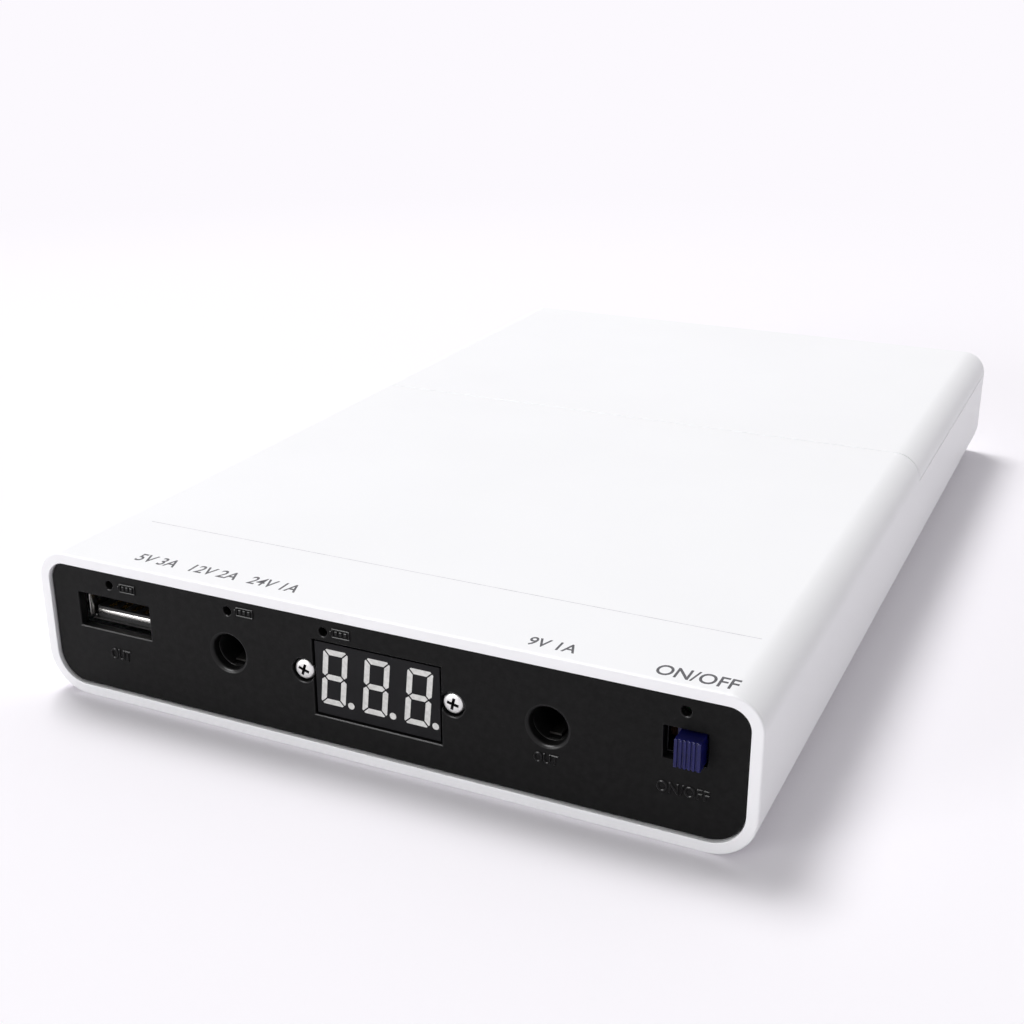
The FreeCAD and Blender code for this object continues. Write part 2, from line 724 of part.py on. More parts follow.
def usb_tongue():
    bottom = usb_tongue_bottom()
    end = plate_back + USB_LENGTH
    tongue = box(usb_x - USB_TONGUE_WIDTH / 2, usb_x + USB_TONGUE_WIDTH / 2,
                 plate_back + TONGUE_TIP_SETBACK, end, bottom, bottom + USB_TONGUE_THICKNESS)
    back = block(usb_x, USB_WIDTH - 2 * USB_SHEET, end - USB_BLOCK_LENGTH, end,
                 usb_z, USB_HEIGHT - 2 * USB_SHEET)
    return joined([tongue, back]).cut(usb_contacts())


# DC sockets

def jack_tail_y():
    return plate_back + JACK_BODY_LENGTH + PIN_SIZE / 2


def jack_tail_xs(x):
    """The centre pin's tail, then the side spring's tail."""
    return [x, x + JACK_BODY_WIDTH / 2 - PIN_SIZE]


def jack_pin(x):
    tip = plate_back + JACK_PIN_SETBACK
    shaft = rod_y(x, jack_z, JACK_PIN_RADIUS, tip, jack_tail_y() + PIN_SIZE / 2)
    round_edges = [edge for edge in shaft.Edges if edge.BoundBox.YMax < tip + 1e-3]
    shaft = shaft.makeFillet(JACK_PIN_ROUNDING, round_edges)
    tail = box(x - PIN_SIZE / 2, x + PIN_SIZE / 2, jack_tail_y() - PIN_SIZE / 2,
               jack_tail_y() + PIN_SIZE / 2, jack_z, board_top + PIN_STAND_OUT)
    return joined([shaft, tail])


def jack_spring(x):
    """A bowed leaf along the bottom of the bore, with its tail up to the board."""
    front = plate_back + SPRING_SETBACK
    back = jack_tail_y() + PIN_SIZE / 2
    low = jack_z - JACK_BORE_RADIUS
    crown = (front + plate_back + JACK_BORE_DEPTH) / 2
    under = [(front, low + SPRING_TIP_RISE), (crown, low + SPRING_BOW),
             (plate_back + JACK_BORE_DEPTH, low), (back, low)]
    over = [(y, z + SPRING_SHEET) for y, z in reversed(under)]
    outline = [Vector(x - SPRING_WIDTH / 2, y, z) for y, z in under + over]
    leaf = Part.Face(Part.makePolygon(outline + [outline[0]])).extrude(Vector(SPRING_WIDTH, 0, 0))
    tail_x = jack_tail_xs(x)[1]
    foot = box(x, tail_x + PIN_SIZE / 2, jack_tail_y() - PIN_SIZE / 2, back, low, low + SPRING_SHEET)
    tail = box(tail_x - PIN_SIZE / 2, tail_x + PIN_SIZE / 2, jack_tail_y() - PIN_SIZE / 2, back,
               low, board_top + PIN_STAND_OUT)
    return joined([leaf, foot, tail])


def jack_body(x):
    end = plate_back + JACK_BODY_LENGTH
    body = box(x - JACK_BODY_WIDTH / 2, x + JACK_BODY_WIDTH / 2, plate_back, end,
               jack_z - JACK_BODY_WIDTH / 2, board_under)
    bore_end = plate_back + JACK_BORE_DEPTH
    body = body.cut(rod_y(x, jack_z, JACK_BORE_RADIUS, plate_back - BEYOND, bore_end))
    body = body.cut(rod_y(x, jack_z, JACK_PIN_RADIUS, plate_back, end + BEYOND))
    low = jack_z - JACK_BORE_RADIUS
    half = SPRING_WIDTH / 2 + SPRING_SLACK
    channel = box(x - half, x + half, plate_back + SPRING_SETBACK / 2, end + BEYOND,
                  low - SPRING_SLACK, low + SPRING_SHEET + SPRING_SLACK)
    return body.cut(channel)


# Slide switch

def switch_pin_places():
    y = can_back + SWITCH_BASE_DEPTH + PIN_SIZE / 2
    return [(switch_x + i * SWITCH_PIN_PITCH, y) for i in (-1, 0, 1)]


def switch_frame():
    can = block(switch_x, SWITCH_CAN_WIDTH, can_front, can_back, switch_z, SWITCH_CAN_HEIGHT)
    can = can.cut(block(switch_x, SWITCH_CAN_WIDTH - 2 * SWITCH_SHEET, can_front + SWITCH_SHEET,
                        can_back + BEYOND, switch_z, SWITCH_CAN_HEIGHT - 2 * SWITCH_SHEET))
    slot_width = KNOB_WIDTH + KNOB_TRAVEL + 2 * KNOB_GAP
    return can.cut(block(switch_x, slot_width, can_front - BEYOND, can_front + SWITCH_SHEET + ROOT,
                         switch_z, KNOB_HEIGHT + 2 * KNOB_GAP))


def switch_base():
    return block(switch_x, SWITCH_CAN_WIDTH, can_back, can_back + SWITCH_BASE_DEPTH,
                 switch_z, SWITCH_CAN_HEIGHT)


def switch_pins():
    pins = []
    low = board_under - SWITCH_PIN_REACH
    for x, y in switch_pin_places():
        half = PIN_SIZE / 2
        pins.append(box(x - half, x + half, y - half, y + half, low, board_top + PIN_STAND_OUT))
    return Part.makeCompound(pins)


def switch_knob():
    face_y = plate_front - KNOB_PROUD
    foot_y = can_front + SWITCH_SHEET + KNOB_GAP
    knob = block(knob_x, KNOB_WIDTH, face_y, foot_y + KNOB_FOOT_DEPTH, switch_z, KNOB_HEIGHT)
    inner_height = SWITCH_CAN_HEIGHT - 2 * SWITCH_SHEET - 2 * KNOB_GAP
    foot = block(knob_x, KNOB_FOOT_WIDTH, foot_y, foot_y + KNOB_FOOT_DEPTH, switch_z, inner_height)
    knob = joined([knob, foot])
    pitch = KNOB_WIDTH / KNOB_RIB_COUNT
    groove = pitch * (1 - KNOB_RIB_SHARE)
    for i in range(1, KNOB_RIB_COUNT):
        x = knob_x - KNOB_WIDTH / 2 + i * pitch
        knob = knob.cut(block(x, groove, face_y - BEYOND, face_y + KNOB_RIB_DEPTH,
                              switch_z, KNOB_HEIGHT + BEYOND))
    return knob


# Board and the parts on it

def lamp(x):
    return box(x - LAMP_WIDTH / 2, x + LAMP_WIDTH / 2, board_front, board_front + LAMP_DEPTH,
               board_top, board_top + LAMP_HEIGHT)


def main_board():
    board = box(-board_half, board_half, board_front, board_rear, board_under, board_top)
    notch = pocket_half + FIT_GAP
    board = board.cut(box(DISPLAY_X - notch, DISPLAY_X + notch, board_front - BEYOND,
                          display_board_back + FIT_GAP, 0, CASE_HEIGHT))
    drills = [(x, display_board_back + DISPLAY_PIN_REACH) for x in display_pin_xs()]
    drills += [(x, usb_tail_y()) for x in usb_contact_xs()]
    drills += switch_pin_places()
    for x in JACK_XS.values():
        drills += [(tail_x, jack_tail_y()) for tail_x in jack_tail_xs(x)]
    for x, y in drills:
        board = board.cut(rod_z(x, y, PIN_HOLE_RADIUS, 0, CASE_HEIGHT))
    for x, y in holder_screw_places():
        board = board.cut(rod_z(x, y, screw_hole_radius, 0, CASE_HEIGHT))
    return board


def inductor(x):
    half = INDUCTOR_SIZE / 2
    y = board_rear - INDUCTOR_ROW
    body = box(x - half, x + half, y - half, y + half,
               board_under - INDUCTOR_HEIGHT, board_under)
    upright = [edge for edge in body.Edges if edge.BoundBox.ZLength > INDUCTOR_HEIGHT / 2]
    return body.makeChamfer(INDUCTOR_CORNER, upright)


def capacitors():
    cans = []
    y = board_rear - CAPACITOR_ROW
    half = CAPACITOR_BASE / 2
    base_low = board_under - CAPACITOR_BASE_HEIGHT
    for x in CAPACITOR_XS:
        base = box(x - half, x + half, y - half, y + half, base_low, board_under)
        can = rod_z(x, y, CAPACITOR_RADIUS, board_under - CAPACITOR_HEIGHT, board_under)
        cans.append(joined([base, can]))
    return Part.makeCompound(cans)


def control_chips():
    chips = []
    y = board_rear - CHIP_ROW
    for x in CHIP_XS:
        parts = [box(x - CHIP_LENGTH / 2, x + CHIP_LENGTH / 2, y - CHIP_WIDTH / 2, y + CHIP_WIDTH / 2,
                     board_under - CHIP_HEIGHT, board_under)]
        reach = CHIP_WIDTH / 2 + CHIP_LEG_REACH
        for i in range(CHIP_LEGS_PER_SIDE):
            leg_x = x + (i - (CHIP_LEGS_PER_SIDE - 1) / 2) * CHIP_LEG_PITCH
            half = CHIP_LEG_WIDTH / 2
            parts.append(box(leg_x - half, leg_x + half, y - reach, y + reach,
                             board_under - CONTACT_SHEET, board_under))
        chips.append(joined(parts))
    return Part.makeCompound(chips)


# Cells, holder and contacts

def ear_screw_y():
    return holder_front - FIT_GAP - EAR_BOSS_RADIUS


def cell(x):
    """One cell lying along Y, its button to the front."""
    shoulder = CELL_BUTTON_HEIGHT
    crimp = CELL_CRIMP_AT
    dip = CELL_CRIMP_DEPTH
    profile = [
        (0, 0), (CELL_BUTTON_RADIUS, 0), (CELL_BUTTON_RADIUS, shoulder),
        (cell_radius - dip, shoulder), (cell_radius, shoulder + dip), (cell_radius, crimp - dip),
        (cell_radius - dip, crimp), (cell_radius, crimp + dip), (cell_radius, CELL_LENGTH - dip),
        (cell_radius - dip, CELL_LENGTH), (0, CELL_LENGTH),
    ]
    points = [Vector(x + r, cell_front + y, cell_z) for r, y in profile]
    face = Part.Face(Part.makePolygon(points + [points[0]]))
    return face.revolve(Vector(x, cell_front, cell_z), Vector(0, 1, 0), 360)


def cell_holder():
    half = holder_half_width
    end_high = ceiling_z - HOLDER_HEADROOM
    bed_half = inner_half - BOTTOM_RADIUS + CASE_WALL
    bed_top = floor_z + HOLDER_FLOOR + CRADLE_HEIGHT
    parts = [
        box(-bed_half, bed_half, holder_front, holder_rear, floor_z, bed_top),
        box(-half, half, holder_front, positive_face, floor_z, end_high),
        box(-half, half, negative_face, holder_rear, floor_z, end_high),
    ]
    holder = joined(parts)
    for x in cell_xs:
        bed = rod_y(x, cell_z, cell_radius + CRADLE_GAP, positive_face, negative_face)
        holder = holder.cut(bed)
    # The end walls follow the case's rounded corners, and the bed rests on its floor.
    room = case_section(CASE_WALL + FIT_GAP, holder_front - BEYOND, holder_rear + BEYOND)
    room = room.fuse(box(-bed_half, bed_half, holder_front, holder_rear, floor_z, cell_z))
    holder = holder.common(room)
    extras = []
    for side in (-1, 1):
        x0 = side * EAR_X - EAR_WIDTH / 2
        x1 = side * EAR_X + EAR_WIDTH / 2
        ear_front = ear_screw_y() - EAR_BOSS_RADIUS
        extras.append(box(x0, x1, ear_front, holder_front + ROOT, boss_top, boss_top + EAR_THICKNESS))
        x0 = side * REAR_BLOCK_X - REAR_BLOCK_WIDTH / 2
        x1 = side * REAR_BLOCK_X + REAR_BLOCK_WIDTH / 2
        extras.append(box(x0, x1, holder_rear - ROOT, inner_rear - FIT_GAP, floor_z, cell_z))
    holder = joined([holder] + extras)
    for side in (-1, 1):
        holder = holder.cut(rod_z(side * EAR_X, ear_screw_y(), screw_hole_radius + FIT_GAP,
                                  floor_z, CASE_HEIGHT))
    slot_width = TAB_WIDTH + 2 * FIT_GAP
    slot_height = STRIP_SHEET + 2 * FIT_GAP
    return holder.cut(block(-lead_x, slot_width, holder_front - BEYOND, positive_face + BEYOND,
                            cell_z, slot_height))


def cell_holder_screws():
    screws = []
    for side in (-1, 1):
        screw = pan_screw(EAR_SCREW_LENGTH)
        screw.translate(Vector(side * EAR_X, ear_screw_y(), boss_top + EAR_THICKNESS))
        screws.append(screw)
    return Part.makeCompound(screws)


def positive_tab():
    return box(-lead_x - TAB_WIDTH / 2, -lead_x + TAB_WIDTH / 2, holder_front - TAB_REACH,
               positive_face + STRIP_SHEET, cell_z - STRIP_SHEET / 2, cell_z + STRIP_SHEET / 2)


def positive_strip():
    parts = [box(-strip_half, strip_half, positive_face, positive_face + STRIP_SHEET,
                 cell_z - STRIP_HEIGHT / 2, cell_z + STRIP_HEIGHT / 2)]
    for x in cell_xs:
        parts.append(rod_y(x, cell_z, CONTACT_BUMP_RADIUS, positive_face, cell_front))
    parts.append(positive_tab())
    return joined(parts)


def negative_tab_x():
    """Inner face of the tab that comes forward beside the last cell."""
    return cell_xs[-1] + cell_radius + FIT_GAP


def negative_strip():
    tab_x = negative_tab_x()
    strip = box(-strip_half, tab_x + STRIP_SHEET, negative_face - STRIP_SHEET, negative_face,
                cell_z - STRIP_HEIGHT / 2, cell_z + STRIP_HEIGHT / 2)
    tab = box(tab_x, tab_x + STRIP_SHEET, negative_face - SPRING_SPACE - TAB_REACH, negative_face,
              cell_z - TAB_WIDTH / 2, cell_z + TAB_WIDTH / 2)
    return joined([strip, tab])


def cone_point(turn):
    """A point on the cone spring's centreline after so many turns, and the wire's heading there."""
    height = SPRING_SPACE - 2 * CONE_WIRE_RADIUS
    widening = (CONE_BASE_RADIUS - CONE_TIP_RADIUS) / CONE_TURNS
    radius = CONE_TIP_RADIUS + widening * turn
    angle = 2 * math.pi * turn
    around = Vector(math.cos(angle), math.sin(angle), 0)
    onward = Vector(-math.sin(angle), math.cos(angle), 0)
    rise = Vector(0, 0, height / CONE_TURNS)
    heading = (onward * (2 * math.pi * radius) + around * widening + rise).normalize()
    return around * radius + rise * turn, heading


def smooth_pair(start, start_heading, end, end_heading):
    """Two arcs that meet smoothly and run from start to end with the given headings."""
    across = end - start
    spread = 2 * (1 - start_heading.dot(end_heading))
    along = across.dot(start_heading + end_heading)
    reach = (math.sqrt(along * along + spread * across.dot(across)) - along) / spread
    first = start + start_heading * reach
    second = end - end_heading * reach
    meeting = (first + second) * 0.5
    return [arc_at(start, first, meeting)[0], arc_at(meeting, second, end)[0]]


def cone_spring():
    """One unbroken cone of wire that widens upwards along Z, in smooth pairs of arcs."""
    steps = CONE_TURNS * ARCS_PER_TURN
    stations = [cone_point(i / ARCS_PER_TURN) for i in range(steps + 1)]
    edges = []
    for (start, start_heading), (end, end_heading) in zip(stations, stations[1:]):
        edges += smooth_pair(start, start_heading, end, end_heading)
    return swept(edges, stations[0][0], stations[0][1], CONE_WIRE_RADIUS)


def cone_spring_gap():
    """The least gap between turns, measured on points along the wire."""
    per_turn = 36
    points = [cone_point(i / per_turn)[0] for i in range(CONE_TURNS * per_turn + 1)]
    apart = per_turn // 2
    least = min((a - b).Length for i, a in enumerate(points) for b in points[i + apart:])
    return least - 2 * CONE_WIRE_RADIUS


def negative_springs():
    springs = []
    for x in cell_xs:
        spring = cone_spring()
        spring.rotate(Vector(0, 0, 0), Vector(1, 0, 0), -90)
        spring.translate(Vector(x, cell_rear + CONE_WIRE_RADIUS, cell_z))
        springs.append(spring)
    return Part.makeCompound(springs)


# Leads

def red_lead():
    on_tab = cell_z + STRIP_SHEET / 2 + LEAD_RADIUS
    on_board = board_under - LEAD_RADIUS
    gap = holder_front - TAB_REACH - board_rear
    points = [
        Vector(-lead_x, holder_front - LEAD_END_GAP, on_tab),
        Vector(-lead_x, board_rear + gap * RED_LEAD_BENDS[0], on_tab),
        Vector(-lead_x, board_rear + gap * RED_LEAD_BENDS[1], on_board),
        Vector(-lead_x, board_rear - LEAD_END_ON_BOARD, on_board),
    ]
    return tube(points, LEAD_RADIUS)


def black_lead():
    beside = negative_tab_x() + STRIP_SHEET + LEAD_RADIUS
    on_board = board_under - LEAD_RADIUS
    gap = holder_front - board_rear
    points = [
        Vector(beside, negative_face - STRIP_SHEET - LEAD_END_GAP, cell_z),
        Vector(beside, board_rear + gap * BLACK_LEAD_BENDS[0], cell_z),
        Vector(lead_x + BLACK_LEAD_STEP_OUT, board_rear + gap * BLACK_LEAD_BENDS[1], cell_z),
        Vector(lead_x, board_rear + gap * BLACK_LEAD_BENDS[2], on_board),
        Vector(lead_x, board_rear - LEAD_END_ON_BOARD, on_board),
    ]
    return tube(points, LEAD_RADIUS)


save("main_shell", main_shell())
save("battery_cover", battery_cover())
save("front_plate", front_plate())
save("plate_screws", plate_screws())
save("display_holder", display_holder())
save("display_holder_screws", display_holder_screws())
save("display_module", display_module())
save("display_segments", display_segments())
save("display_board", display_board())
save("display_pins", display_pins())
save("main_board", main_board())
save("usb_shell", usb_shell())
save("usb_tongue", usb_tongue())
save("usb_contacts", usb_contacts())
for side, x in JACK_XS.items():
    save(side + "_jack_body", jack_body(x))
    save(side + "_jack_pin", jack_pin(x))
    save(side + "_jack_spring", jack_spring(x))
save("switch_frame", switch_frame())
save("switch_base", switch_base())
save("switch_pins", switch_pins())
save("switch_knob", switch_knob())
for number, x in enumerate(lamp_xs, 1):
    save("lamp_" + str(number), lamp(x))
for number, x in enumerate(INDUCTOR_XS, 1):
    save("inductor_" + str(number), inductor(x))
save("capacitors", capacitors())
save("control_chips", control_chips())
save("cell_holder", cell_holder())
save("cell_holder_screws", cell_holder_screws())
for number, x in enumerate(cell_xs, 1):
    save("cell_" + str(number), cell(x))
save("positive_strip", positive_strip())
save("negative_strip", negative_strip())
save("negative_springs", negative_springs())
print("least gap between spring turns", round(cone_spring_gap(), 2))
save("red_lead", red_lead())
save("black_lead", black_lead())
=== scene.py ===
import math

import bmesh
import bpy
from mathutils import Matrix, Vector


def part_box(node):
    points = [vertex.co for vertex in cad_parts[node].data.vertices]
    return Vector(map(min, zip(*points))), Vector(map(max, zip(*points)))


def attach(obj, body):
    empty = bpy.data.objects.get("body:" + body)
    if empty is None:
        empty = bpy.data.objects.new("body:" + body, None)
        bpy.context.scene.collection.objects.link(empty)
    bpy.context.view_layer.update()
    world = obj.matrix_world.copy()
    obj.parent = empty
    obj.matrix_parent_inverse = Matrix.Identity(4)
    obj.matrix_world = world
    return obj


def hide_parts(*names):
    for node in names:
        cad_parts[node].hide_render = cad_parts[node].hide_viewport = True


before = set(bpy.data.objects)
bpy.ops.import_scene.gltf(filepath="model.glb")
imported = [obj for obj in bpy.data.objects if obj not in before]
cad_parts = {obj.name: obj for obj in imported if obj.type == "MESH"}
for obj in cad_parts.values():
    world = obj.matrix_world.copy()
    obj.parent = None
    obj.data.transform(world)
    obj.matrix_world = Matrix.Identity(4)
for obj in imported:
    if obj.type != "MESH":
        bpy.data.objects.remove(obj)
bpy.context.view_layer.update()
MM = 0.001


# The view: the camera stands in front of the right corner and a little above the case. Its place,
# turn and lens were fitted to the case's straight edges and to the openings in the photograph.
CAMERA_PLACE = Vector((99.05, -252.15, 112.33)) * MM
CAMERA_TURN = [math.radians(angle) for angle in (68.841, 0.111, 25.282)]
LENS_MM = 50.125
camera_data = bpy.data.cameras.new("camera")
camera_data.lens = LENS_MM
camera_data.sensor_width = 36
camera_data.clip_start = 0.01
camera = bpy.data.objects.new("camera", camera_data)
camera.location = CAMERA_PLACE
camera.rotation_euler = CAMERA_TURN
bpy.context.scene.collection.objects.link(camera)
bpy.context.scene.camera = camera
bpy.context.scene.view_settings.view_transform = "Standard"


# The studio: a pale sheet of paper under the case, which fades into an even white room. A large soft
# lamp hangs over the left side, so the right side and the front stay greyer than the top. A weak
# lamp lifts the front, and a card above the front shines only in glossy edges.
PAPER_COLOUR = "#FCF9FE"
PAPER_RADIUS = 9.0
FADE_FROM = 0.17
FADE_TO = 0.5
ROOM_LIGHT = 0.39


def linear(hex_colour):
    """An sRGB hex colour as the linear RGBA that a shader reads."""
    values = [int(hex_colour[i:i + 2], 16) / 255 for i in (1, 3, 5)]
    return [v / 12.92 if v <= 0.04045 else ((v + 0.055) / 1.055) ** 2.4 for v in values] + [1]


def add(tree, kind, inputs=None, **settings):
    """Adds one node. Settings are its own, and inputs are values or the sockets that feed it."""
    node = tree.nodes.new(kind)
    for name, value in settings.items():
        setattr(node, name, value)
    for name, value in (inputs or {}).items():
        if isinstance(value, bpy.types.NodeSocket):
            tree.links.new(value, node.inputs[name])
        else:
            node.inputs[name].default_value = value
    return node


def seen_directly(tree):
    """1 for a camera, mirror or glass ray, and 0 for a ray that carries light to the object."""
    path = add(tree, "ShaderNodeLightPath")
    mirrored = add(tree, "ShaderNodeMath", {0: path.outputs["Is Camera Ray"],
                                            1: path.outputs["Is Glossy Ray"]}, operation="MAXIMUM")
    return add(tree, "ShaderNodeMath", {0: mirrored.outputs[0],
                                        1: path.outputs["Is Transmission Ray"]}, operation="MAXIMUM")


world = bpy.data.worlds.new("white_room")
world.use_nodes = True
room = world.node_tree
room.nodes.clear()
seen = seen_directly(room)
lit = add(room, "ShaderNodeBackground", {"Color": linear("#FFFFFF"), "Strength": ROOM_LIGHT})
shown = add(room, "ShaderNodeBackground", {"Color": linear(PAPER_COLOUR), "Strength": 1.0})
blend = add(room, "ShaderNodeMixShader", {0: seen.outputs[0], 1: lit.outputs[0], 2: shown.outputs[0]})
add(room, "ShaderNodeOutputWorld", {"Surface": blend.outputs[0]})
bpy.context.scene.world = world

# The sheet takes the case's shadow, and turns into its own plain colour before its edge
paper = bpy.data.materials.new("paper")
paper.use_nodes = True
tree = paper.node_tree
tree.nodes.clear()
spot = add(tree, "ShaderNodeTexCoord")
distance = add(tree, "ShaderNodeVectorMath", {0: spot.outputs["Object"]}, operation="LENGTH")
far = add(tree, "ShaderNodeMapRange", {"Value": distance.outputs["Value"], "From Min": FADE_FROM,
                                       "From Max": FADE_TO}, interpolation_type="SMOOTHSTEP")
seen = seen_directly(tree)
faded = add(tree, "ShaderNodeMath", {0: far.outputs[0], 1: seen.outputs[0]}, operation="MULTIPLY")
lit_paper = add(tree, "ShaderNodeBsdfDiffuse", {"Color": linear(PAPER_COLOUR)})
glow = add(tree, "ShaderNodeEmission", {"Color": linear(PAPER_COLOUR), "Strength": 1.0})
blend = add(tree, "ShaderNodeMixShader", {0: faded.outputs[0], 1: lit_paper.outputs[0],
                                          2: glow.outputs[0]})
add(tree, "ShaderNodeOutputMaterial", {"Surface": blend.outputs[0]})

bm = bmesh.new()
bmesh.ops.create_circle(bm, cap_ends=True, segments=64, radius=PAPER_RADIUS)
paper_mesh = bpy.data.meshes.new("paper")
bm.to_mesh(paper_mesh)
bm.free()
paper_mesh.materials.append(paper)
floor = bpy.data.objects.new("paper", paper_mesh)
bpy.context.scene.collection.objects.link(floor)

# Each lamp: where it hangs, how wide and deep it is, and its power in watts
LAMPS = {
    "key": (Vector((-1.15, 0.72, 2.84)), 1.2, 1.2, 64.0),
    "front": (Vector((-0.95, -1.45, 0.32)), 0.7, 0.4, 10.5),
    "card": (Vector((-0.62, -0.70, 1.08)), 0.9, 0.6, 22.0),
}
for name, (place, width, depth, power) in LAMPS.items():
    lamp_data = bpy.data.lights.new(name, "AREA")
    lamp_data.shape = "RECTANGLE"
    lamp_data.size = width
    lamp_data.size_y = depth
    lamp_data.energy = power
    lamp = bpy.data.objects.new(name, lamp_data)
    lamp.location = place
    lamp.rotation_euler = (-place).to_track_quat("-Z", "Y").to_euler()
    # The card shines in glossy edges and lights nothing else
    lamp.visible_diffuse = name != "card"
    lamp.visible_camera = False
    bpy.context.scene.collection.objects.link(lamp)


# Main shell: the tray and the closed ring at its front, one injection moulding in white ABS. The
# mould was spark-eroded, which leaves a fine even grain and a soft, broad gloss.
SHELL_SHADES = ("#F3F3F5", "#F5F5F7")
# Real eroded grain is some 0.05 mm wide. Grain that fine can't show, so it is drawn coarser, here and
# on the pieces below
SHELL_GRAIN = 0.3
SHELL_EDGE = 0.12
SHARP_ANGLE = math.radians(30)


def start_material(name, colour, roughness, **inputs):
    """A new material with one principled shader, its node tree and the shader."""
    made = bpy.data.materials.new(name)
    made.use_nodes = True
    nodes = made.node_tree
    shader = nodes.nodes["Principled BSDF"]
    shader.inputs["Base Color"].default_value = linear(colour)
    shader.inputs["Roughness"].default_value = roughness
    for key, value in inputs.items():
        shader.inputs[key.replace("_", " ").title().replace("Ior", "IOR")].default_value = value
    return made, nodes, shader


def texture_of(tree, size, detail=2.0, stretch=(1, 1, 1)):
    """Noise whose lumps are size mm across, or longer where an axis of stretch is under 1."""
    spot = add(tree, "ShaderNodeTexCoord")
    drawn = add(tree, "ShaderNodeMapping", {"Vector": spot.outputs["Object"], "Scale": stretch})
    return add(tree, "ShaderNodeTexNoise", {"Vector": drawn.outputs[0], "Scale": 1 / (size * MM),
                                            "Detail": detail})


def grain(tree, shader, size, depth, detail=2.0, stretch=(1, 1, 1)):
    """A fine relief over the whole surface. Size and depth are in mm."""
    noise = texture_of(tree, size, detail, stretch)
    relief = add(tree, "ShaderNodeBump", {"Height": noise.outputs["Fac"], "Strength": 1.0,
                                          "Distance": depth * MM})
    tree.links.new(relief.outputs[0], shader.inputs["Normal"])


def mottle(tree, shader, size, shades, stretch=(1, 1, 1)):
    """The colour drifts between two shades, in patches size mm across."""
    noise = texture_of(tree, size, 3.0, stretch)
    ramp = add(tree, "ShaderNodeValToRGB", {"Fac": noise.outputs["Fac"]})
    ramp.color_ramp.elements[0].position = 0.35
    ramp.color_ramp.elements[0].color = linear(shades[0])
    ramp.color_ramp.elements[1].position = 0.65
    ramp.color_ramp.elements[1].color = linear(shades[1])
    tree.links.new(ramp.outputs["Color"], shader.inputs["Base Color"])


def cad_copy(node):
    """The mesh of a CAD node as one clean bmesh in mm: doubles merged and flat faces joined."""
    made = bmesh.new()
    made.from_mesh(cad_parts[node].data)
    bmesh.ops.scale(made, vec=(1 / MM, 1 / MM, 1 / MM), verts=made.verts)
    bmesh.ops.remove_doubles(made, verts=made.verts, dist=0.001)
    bmesh.ops.dissolve_limit(made, angle_limit=math.radians(0.3), verts=made.verts, edges=made.edges)
    for face in made.faces:
        face.material_index = 0
    return made


def make_piece(name, made, *materials):
    """An object at the origin from a bmesh in mm, smooth but for its sharp edges."""
    bmesh.ops.scale(made, vec=(MM, MM, MM), verts=made.verts)
    for face in made.faces:
        face.smooth = True
    for edge in made.edges:
        edge.smooth = len(edge.link_faces) == 2 and edge.calc_face_angle(0) < SHARP_ANGLE
    mesh = bpy.data.meshes.new(name)
    made.to_mesh(mesh)
    made.free()
    for material in materials:
        mesh.materials.append(material)
    piece = bpy.data.objects.new(name, mesh)
    bpy.context.scene.collection.objects.link(piece)
    return piece


def keep_flats_flat(piece):
    """Shades wide flat faces as flat, and only the narrow rounded edges as round."""
    flats = piece.modifiers.new("flats", "WEIGHTED_NORMAL")
    flats.weight = 100
    flats.keep_sharp = True


def round_edges(piece, width, finish=-1):
    """Breaks every sharp edge by width mm, as a mould or a die does. Finish: a material's number."""
    bevel = piece.modifiers.new("rounding", "BEVEL")
    bevel.width = width * MM
    bevel.segments = 2
    bevel.use_clamp_overlap = False
    bevel.material = finish
    bevel.limit_method = "ANGLE"
    bevel.angle_limit = math.radians(40)
    keep_flats_flat(piece)


def fit(piece, body, slot_name, *nodes):
    """The piece rides on a body and stands for CAD nodes, which it hides. The slot name is not used."""
    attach(piece, body)
    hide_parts(*nodes)


white_abs, tree, shader = start_material("white_moulded_abs", SHELL_SHADES[1], 0.45)
grain(tree, shader, SHELL_GRAIN, 0.005)
mottle(tree, shader, 40, SHELL_SHADES)
shell = make_piece("main_shell_moulding", cad_copy("main_shell"), white_abs)
round_edges(shell, SHELL_EDGE)
fit(shell, "housing", "shell_white", "main_shell")


# Circuit board: glass fibre laminate with copper tracks under green lacquer. It slides in on rails
# from the rear. Every pin that comes through it stands in a small cone of solder.
LACQUER_SHADES = ("#0D4A28", "#17703C")
TRACK_PITCH = 2.6
TRACK_WIDTH = 0.28
TRACK_RELIEF = 0.035
SOLDER_FOOT = 0.95
SOLDER_HEIGHT = 0.5
# The cone's (radius, height) points, from the board up to its rounded tip
SOLDER_PROFILE = [(0, 0), (SOLDER_FOOT, 0), (SOLDER_FOOT * 0.85, 0.12), (0.6, 0.25),
                  (0.45, SOLDER_HEIGHT), (0, SOLDER_HEIGHT + 0.08)]
# Corners of pins that are nearer than this belong to one pin
PIN_GAP = 1.3


def handle(tree, shader, size, low, high):
    """The gloss drifts as it does where a surface was touched or drawn, between two roughnesses."""
    noise = texture_of(tree, size, 4.0)
    spread = add(tree, "ShaderNodeMapRange", {"Value": noise.outputs["Fac"], "From Min": 0.3,
                                              "From Max": 0.7, "To Min": low, "To Max": high})
    tree.links.new(spread.outputs[0], shader.inputs["Roughness"])


def coat(material, *nodes):
    """Gives CAD nodes their finish."""
    for node in nodes:
        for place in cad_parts[node].material_slots:
            place.material = material


def facing(axis):
    """The turn about X that points +Z along an axis."""
    return Matrix.Rotation(math.radians({"Z": 0, "-Y": 90, "Y": -90, "-Z": 180}[axis]), 3, "X")


def band_distance(spot, band):
    """How far a point of the half section is from one straight band of a turned profile."""
    start, end = Vector(band[0]), Vector(band[1])
    along = end - start
    share = max(0, min(1, (Vector(spot) - start).dot(along) / along.length_squared))
    return (Vector(spot) - start - share * along).length


